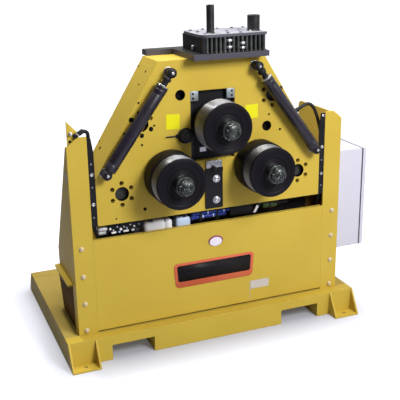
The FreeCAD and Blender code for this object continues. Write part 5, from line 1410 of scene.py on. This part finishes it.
@dataclass
class PowerPack:
    """Coil housings and details of the motor, pump, gear motors and tank.

    Attributes:
        motor_y: Depth of the motor's shaft; motor_z is its height.
        bare_side: Angle in degrees beside the level within which the motor has no fins.
        lower_face: Plane behind which the lower gear motors stand; top_face is the top one's.
    """

    motor_y: float = -10.0
    motor_z: float = 450.0
    bare_side: float = 35.0
    lower_face: float = -177.0
    top_face: float = -202.1

    def at(self, x: float, across: float = 0.0, up: float = 0.0) -> Point:
        """Point at a place along the motor's shaft, beside and above its middle line."""
        return (x, self.motor_y + across, self.motor_z + up)

    def build(self) -> None:
        """Make the power pack's pieces."""
        self.coils()
        self.motor_body()
        self.motor_trim()
        self.pump_trim()
        self.gear_motor_trim()
        self.tank_trim()

    def coils(self) -> None:
        """White and pale-blue coil housings with their ribs, strap and feet."""
        white = Piece("white_coil_housing", WHITE_COIL)
        white.block((-327, -352, 520), (-226, -257, 598), 16.0, 4)
        white.block((-226, -348, 528), (-192, -263, 594), 12.0, 4)
        for x in (-318, -304, -290, -276, -262, -248):
            white.block((x, -258, 512), (x + 6, -255.5, 574), 0.8)
        white.done("solenoid_valves")
        blue = Piece("blue_coil_housing", BLUE_COIL)
        blue.block((-176, -350, 520), (-104, -258, 596), 14.0, 4)
        blue.done("solenoid_valves")
        dark = Piece("coil_strap_and_feet", BLACK_GRIP)
        dark.block((-190.5, -350, 516), (-178, -256, 594), 2.0)
        dark.block((-328, -317, 495), (-102, -257, 501), 1.0)
        dark.done("solenoid_valves")

    def motor_body(self) -> None:
        """Finned motor with end shields, fan cowl, feet and terminal box."""
        piece = Piece("finned_motor", CASTING)
        shell = [(0, 0), (60, 0), (84, 3), (88, 8), (88, 28), (82, 32), (82, 236), (88, 240), (88, 256),
                 (92, 260), (92, 306), (82, 320), (0, 320)]
        piece.turn(shell, self.at(60), Axis.RIGHT, 64)
        for step in range(36):
            angle = step * 10.0
            from_level = abs((angle + 90.0) % 180.0 - 90.0)
            if from_level < self.bare_side:
                continue
            made = piece.block(self.at(94, -1.6, 80), self.at(294, 1.6, 96.5))
            piece.tilt(made, Matrix.Rotation(math.radians(angle), 4, "X"), self.at(0))
        for x in (90, 320):
            piece.block(self.at(x, -80, -105), self.at(x + 30, 80, -92), 2.0)
            piece.block(self.at(x + 4, -56, -94), self.at(x + 26, 56, -46), 3.0)
        piece.block(self.at(177, -43, 70), self.at(263, 43, 120), 4.0)
        piece.block(self.at(174, -45, 120), self.at(266, 45, 133), 3.0)
        piece.done("electric_motor")

    def motor_trim(self) -> None:
        """Cowl slots, foot bolts, gland and bare rating plate of the motor."""
        slots = Piece("cowl_slots", HOLE)
        for step in range(12):
            made = slots.block(self.at(379.6, -3, 24), self.at(380.4, 3, 72))
            slots.tilt(made, Matrix.Rotation(math.tau * step / 12, 4, "X"), self.at(0))
        slots.rod(10.0, self.at(379.6), Axis.RIGHT, 0.8)
        slots.done()
        trim = Piece("motor_bolts_and_gland", ZINC)
        for x in (105, 335):
            for across in (-70, 70):
                trim.ring(5.0, 11.0, self.at(x, across, -92), Axis.UP, 2.0)
                trim.hexagon(15.0, self.at(x, across, -90), Axis.UP, 8.0)
        for x in (184, 256):
            for across in (-36, 36):
                trim.rod(3.5, self.at(x, across, 133), Axis.UP, 2.0, 0.6, 16)
        trim.block(self.at(196, 42.8, 82), self.at(244, 43.6, 108))
        trim.done()
        gland = Piece("terminal_gland", BLACK_GRIP)
        gland.hexagon(24.0, self.at(263, 0, 92), Axis.RIGHT, 7.0)
        cap = [(0, 0), (10.5, 0), (10.5, 9), (7, 14), (0, 14)]
        gland.turn(cap, self.at(270, 0, 92), Axis.RIGHT, 28)
        gland.done()

    def pump_trim(self) -> None:
        """Bell-housing bolts, pump ports and end-plate screws."""
        piece = Piece("pump_bolts_and_ports", ZINC)
        for across, up in round_the_circle(6, 60.0, math.pi / 6):
            piece.hexagon(13.0, self.at(-6, across, up), Axis.LEFT, 7.0)
        for across in (-33, 33):
            for up in (-33, 33):
                piece.hexagon(12.0, self.at(-124, across, up), Axis.LEFT, 6.0)
        for side, axis in ((-1, Axis.FRONT), (1, Axis.BACK)):
            piece.ring(6.0, 15.0, self.at(-60, side * 44), axis, 8.0, 0.8)
            piece.hexagon(22.0, self.at(-60, side * 52), axis, 10.0)
        piece.done()

    def gear_motor_trim(self) -> None:
        """Flange screws and port plugs of the three gear motors."""
        lower = Piece("gear_motor_screws", ZINC)
        for side in (-1, 1):
            self.motor_screws(lower, side * ROLL_X, LOWER_Z, self.lower_face)
            for dx, dz in round_the_circle(8, 78.0, math.pi / 8):
                self.cap_screw(lower, side * ROLL_X + dx, self.lower_face + 20.0, LOWER_Z + dz, 4.5)
        lower.done()
        top = Piece("top_gear_motor_screws", ZINC, Body.SLIDE)
        self.motor_screws(top, 0.0, TOP_Z, self.top_face)
        top.done()

    def motor_screws(self, piece: Piece, x: float, z: float, face: float) -> None:
        """Screws in a gearbox's rear face and plugs in its port block."""
        for dx, dz in round_the_circle(8, 59.0, math.pi / 8):
            self.cap_screw(piece, x + dx, face + 105.0, z + dz, 5.0)
        for dx in (-11, 11):
            piece.hexagon(15.0, (x + dx, face + 160.0, z + 60), Axis.UP, 6.0)
        for dx, dz in round_the_circle(4, 36.0, math.pi / 4):
            self.cap_screw(piece, x + dx, face + 215.0, z + dz, 4.5)

    def cap_screw(self, piece: Piece, x: float, y: float, z: float, radius: float) -> None:
        """Socket-head screw on a rear face."""
        piece.turn(socket_head(radius, radius, 2.0), (x, y, z), Axis.BACK, 20)

    def tank_trim(self) -> None:
        """Brown sheet below the shelf's left end, a painted shade that stands in for the shaded space under
        the shelf, and the level gauge, lid screws and drain plug of the oil tank.
        """
        # Painted shade: a dark brown sheet fills the opening under the shelf's left end.
        cover = Piece("left_painted_shade_sheet", SHADE_BROWN)
        side_view = ((-312, 119), (-60, 119), (-30, 180), (24, 319), (-312, 319))
        cover.prism([(-656, y, z) for y, z in side_view], (4, 0, 0), 0.8)
        cover.done()
        piece = Piece("tank_lid_screws", ZINC)
        for x in (-400, -220, -60, 110, 280):
            for y in (-270, 184):
                piece.hexagon(10.0, (x, y, 320), Axis.UP, 5.0)
        piece.hexagon(24.0, (-340, 202, 136), Axis.BACK, 9.0)
        for z in (176, 284):
            piece.hexagon(14.0, (-40, 214, z), Axis.BACK, 5.0)
        piece.done()
        gauge = Piece("level_gauge_body", BLACK_GRIP)
        gauge.blocks(((-52, 202, 166), (-28, 214, 294)), round_by=3.0).done()
        glass = Piece("level_gauge_window", GAUGE)
        glass.blocks(((-46, 213, 188), (-34, 216, 272)), round_by=1.5).done()


# ---- cabinet and knob


@dataclass
class CabinetDetails:
    """Edge seal, glands, door fittings, mounting screws and device faces of the electrical cabinet."""

    seal_x: tuple[float, float] = (888.0, 894.5)
    door_x: float = 913.5

    def build(self) -> None:
        """Make the cabinet's small pieces."""
        self.edge_seal()
        self.glands()
        self.door_fittings()
        self.mount_screws()
        self.devices()

    def edge_seal(self) -> None:
        """Seal round the door's opening, left open at the hinges."""
        piece = Piece("cabinet_edge_seal", SEAL)
        start, end = self.seal_x
        for (y, z), (far_y, far_z) in (((-220.8, 255), (-220, 775)), ((-220.8, 775), (20, 775.8)),
                                       ((20, 255), (20.8, 318)), ((20, 372), (20.8, 658)),
                                       ((20, 712), (20.8, 775)), ((-220.8, 254.2), (20.8, 255))):
            piece.block((start, y, z), (end, far_y, far_z))
        piece.done()

    def glands(self) -> None:
        """Cable glands below the cabinet."""
        piece = Piece("cabinet_glands", BLACK_GRIP)
        for y in (-170, -100, -30):
            piece.hexagon(28.0, (780, y, 255), Axis.DOWN, 7.0)
            piece.turn([(0, 0), (12, 0), (12, 10), (8, 16), (0, 16)], (780, y, 248), Axis.DOWN, 28)
        piece.done()

    def door_fittings(self) -> None:
        """Washer below the lock, and the frame round the isolator handle."""
        washer = Piece("door_fitting_plates", GREY_DEVICE, Body.DOOR)
        washer.ring(6.2, 15.0, (self.door_x, -192, 515), Axis.RIGHT, 1.0)
        washer.done()
        surround = Piece("isolator_back_plate", LABEL_GREY, Body.DOOR)
        for (y, z), (far_y, far_z) in (((-133, 652), (-125, 718)), ((-75, 652), (-67, 718)),
                                       ((-125, 710), (-75, 718)), ((-125, 652), (-75, 660))):
            surround.block((self.door_x, y, z), (self.door_x + 1.5, far_y, far_z), 0.4)
        surround.done()

    def mount_screws(self) -> None:
        """Screws that hold the cabinet on the right post."""
        piece = Piece("cabinet_mount_screws", ZINC)
        for y in (-190, -10):
            for z in (290, 740):
                piece.turn([(0, 0), (7, 0), (7, 2), (5, 4.5), (0, 5)], (571.5, y, z), Axis.LEFT, 24)
        piece.done()

    def devices(self) -> None:
        """Faces and terminal screws of the contactors, and the transformer's straps."""
        screws = Piece("terminal_screws", ZINC)
        levers = Piece("contactor_faces", BLACK_GRIP)
        for y in (-149, -101, -53):
            for z in (445, 555):
                levers.block((750, y - 12, z + 24), (754, y + 12, z + 54), 1.2)
                for dy in (-13, 0, 13):
                    for dz in (9, 69):
                        screws.rod(3.6, (750, y + dy, z + dz), Axis.RIGHT, 2.0, 0.5, 16)
        for z in (325, 366):
            levers.block((678, -172, z), (780, -28, z + 8), 1.5)
        screws.done()
        levers.done()


def knob_cap(x: float = -134.0, z: float = 983.0) -> None:
    """Screw in the middle of the clamp knob, and the skirt round its foot."""
    cap = Piece("knob_screw", BORE, Body.KNOB)
    screw = [(0, 0.6), (4, 0.6), (4, 2.4), (8, 2.4), (10, 1.2), (10, -0.6), (0, -0.6)]
    cap.turn(screw, (x, -406.3, z), Axis.FRONT, 32)
    cap.done()
    skirt = Piece("knob_skirt", BLACK_GRIP, Body.KNOB)
    skirt.ring(10.0, 35.0, (x, -380.6, z), Axis.FRONT, 5.0, 1.2, 48)
    skirt.done()


@dataclass
class WeldBeads:
    """Ripple-surfaced weld beads along the main joints."""

    radius: float = 3.2
    pitch: float = 5.0

    def build(self) -> None:
        """Lay the beads."""
        piece = Piece("weld_beads", MUSTARD)
        runs = [((-660, -360, 118), Axis.BACK, 300), ((-571.5, -350, 118), Axis.BACK, 290),
                ((660, -360, 118), Axis.BACK, 380), ((571.5, -350, 118), Axis.BACK, 370),
                ((-652, -360, 118), Axis.RIGHT, 70), ((-545, -195, 660), Axis.UP, 160),
                ((545, -195, 660), Axis.UP, 160), ((-230, -177, 1312), Axis.RIGHT, 460),
                ((-725, 369.5, 118), Axis.RIGHT, 1450), ((-592, 40, 118), Axis.RIGHT, 50),
                ((602, 40, 118), Axis.RIGHT, 50)]
        for start, axis, length in runs:
            profile = [(0.0, 0.0), (self.radius * 0.6, 0.0)]
            for step in range(int(length / self.pitch)):
                far = self.pitch * step
                profile += [(self.radius, far + self.pitch * 0.4),
                            (self.radius * 0.86, far + self.pitch * 0.95)]
            profile += [(0.0, length)]
            piece.turn(profile, start, axis, 10)
        piece.done(crease=1.2)


# ---- assembly


def main() -> None:
    """Build the studio, dress the machine and add its detail pieces."""
    logging.basicConfig(level=logging.INFO, format="%(message)s")
    Studio().build()
    dress(MUSTARD, "anchor_feet", "fork_tunnels", "front_panel", "front_sill", "left_post", "right_post",
          "shelf", "head_closing_plates", "head_front_plate", "head_rear_plate", "oil_tank")
    dress(DARKER_MUSTARD, "deck_plate", "rear_sill", "side_rails")
    dress(BLACKENED, "centre_bar", "indicator_base", "manifold", "top_slide", "head_brackets")
    dress(STUD, "tie_studs")
    dress(TUBE, "mast_sockets")
    dress(CAP_STEEL, "cap_plate")
    dress(GROUND, "centre_block", "lower_bearings", "top_bearings", "valve_block")
    dress(NOSE, "top_roll_shaft", "left_roll_shaft", "right_roll_shaft")
    dress(CHROME, "piston_rod", "door_lock")
    dress(CASTING, "lower_gear_motors", "top_gear_motor", "hydraulic_pump", "main_cylinder")
    dress(COVER, "manifold_cover")
    dress(LAVENDER, "cabinet_box", "cabinet_door")
    dress(BLACK_GRIP, "indicator_knob", "filler_breather", "isolator_handle")
    dress(GREY_DEVICE, "control_gear")
    for name, body, x in (("left_roll", Body.LEFT_ROLL, -ROLL_X), ("right_roll", Body.RIGHT_ROLL, ROLL_X)):
        RollSet(name, body, x, LOWER_Z, ring_radius=118.0, ring_front=-469.0).build()
    RollSet("top_roll", Body.TOP_ROLL, 0.0, TOP_Z, ring_radius=98.0, ring_front=-438.0).build()
    for name, side in (("left_guide_cylinder", -1), ("right_guide_cylinder", 1)):
        ParkedCylinder(name, side).build()
    HoseRun("left_hose", LEFT_ROUTE, 765.0).build("hydraulic_hoses")
    HoseRun("right_hose", RIGHT_ROUTE, 790.0).build("hydraulic_hoses")
    HoseFittings().build()
    HeadDetails().build()
    PanelDetails().build()
    CapUnit().build()
    ServiceRail().build()
    PowerPack().build()
    CabinetDetails().build()
    knob_cap()
    WeldBeads().build()


if __name__ == "__main__":
    main()
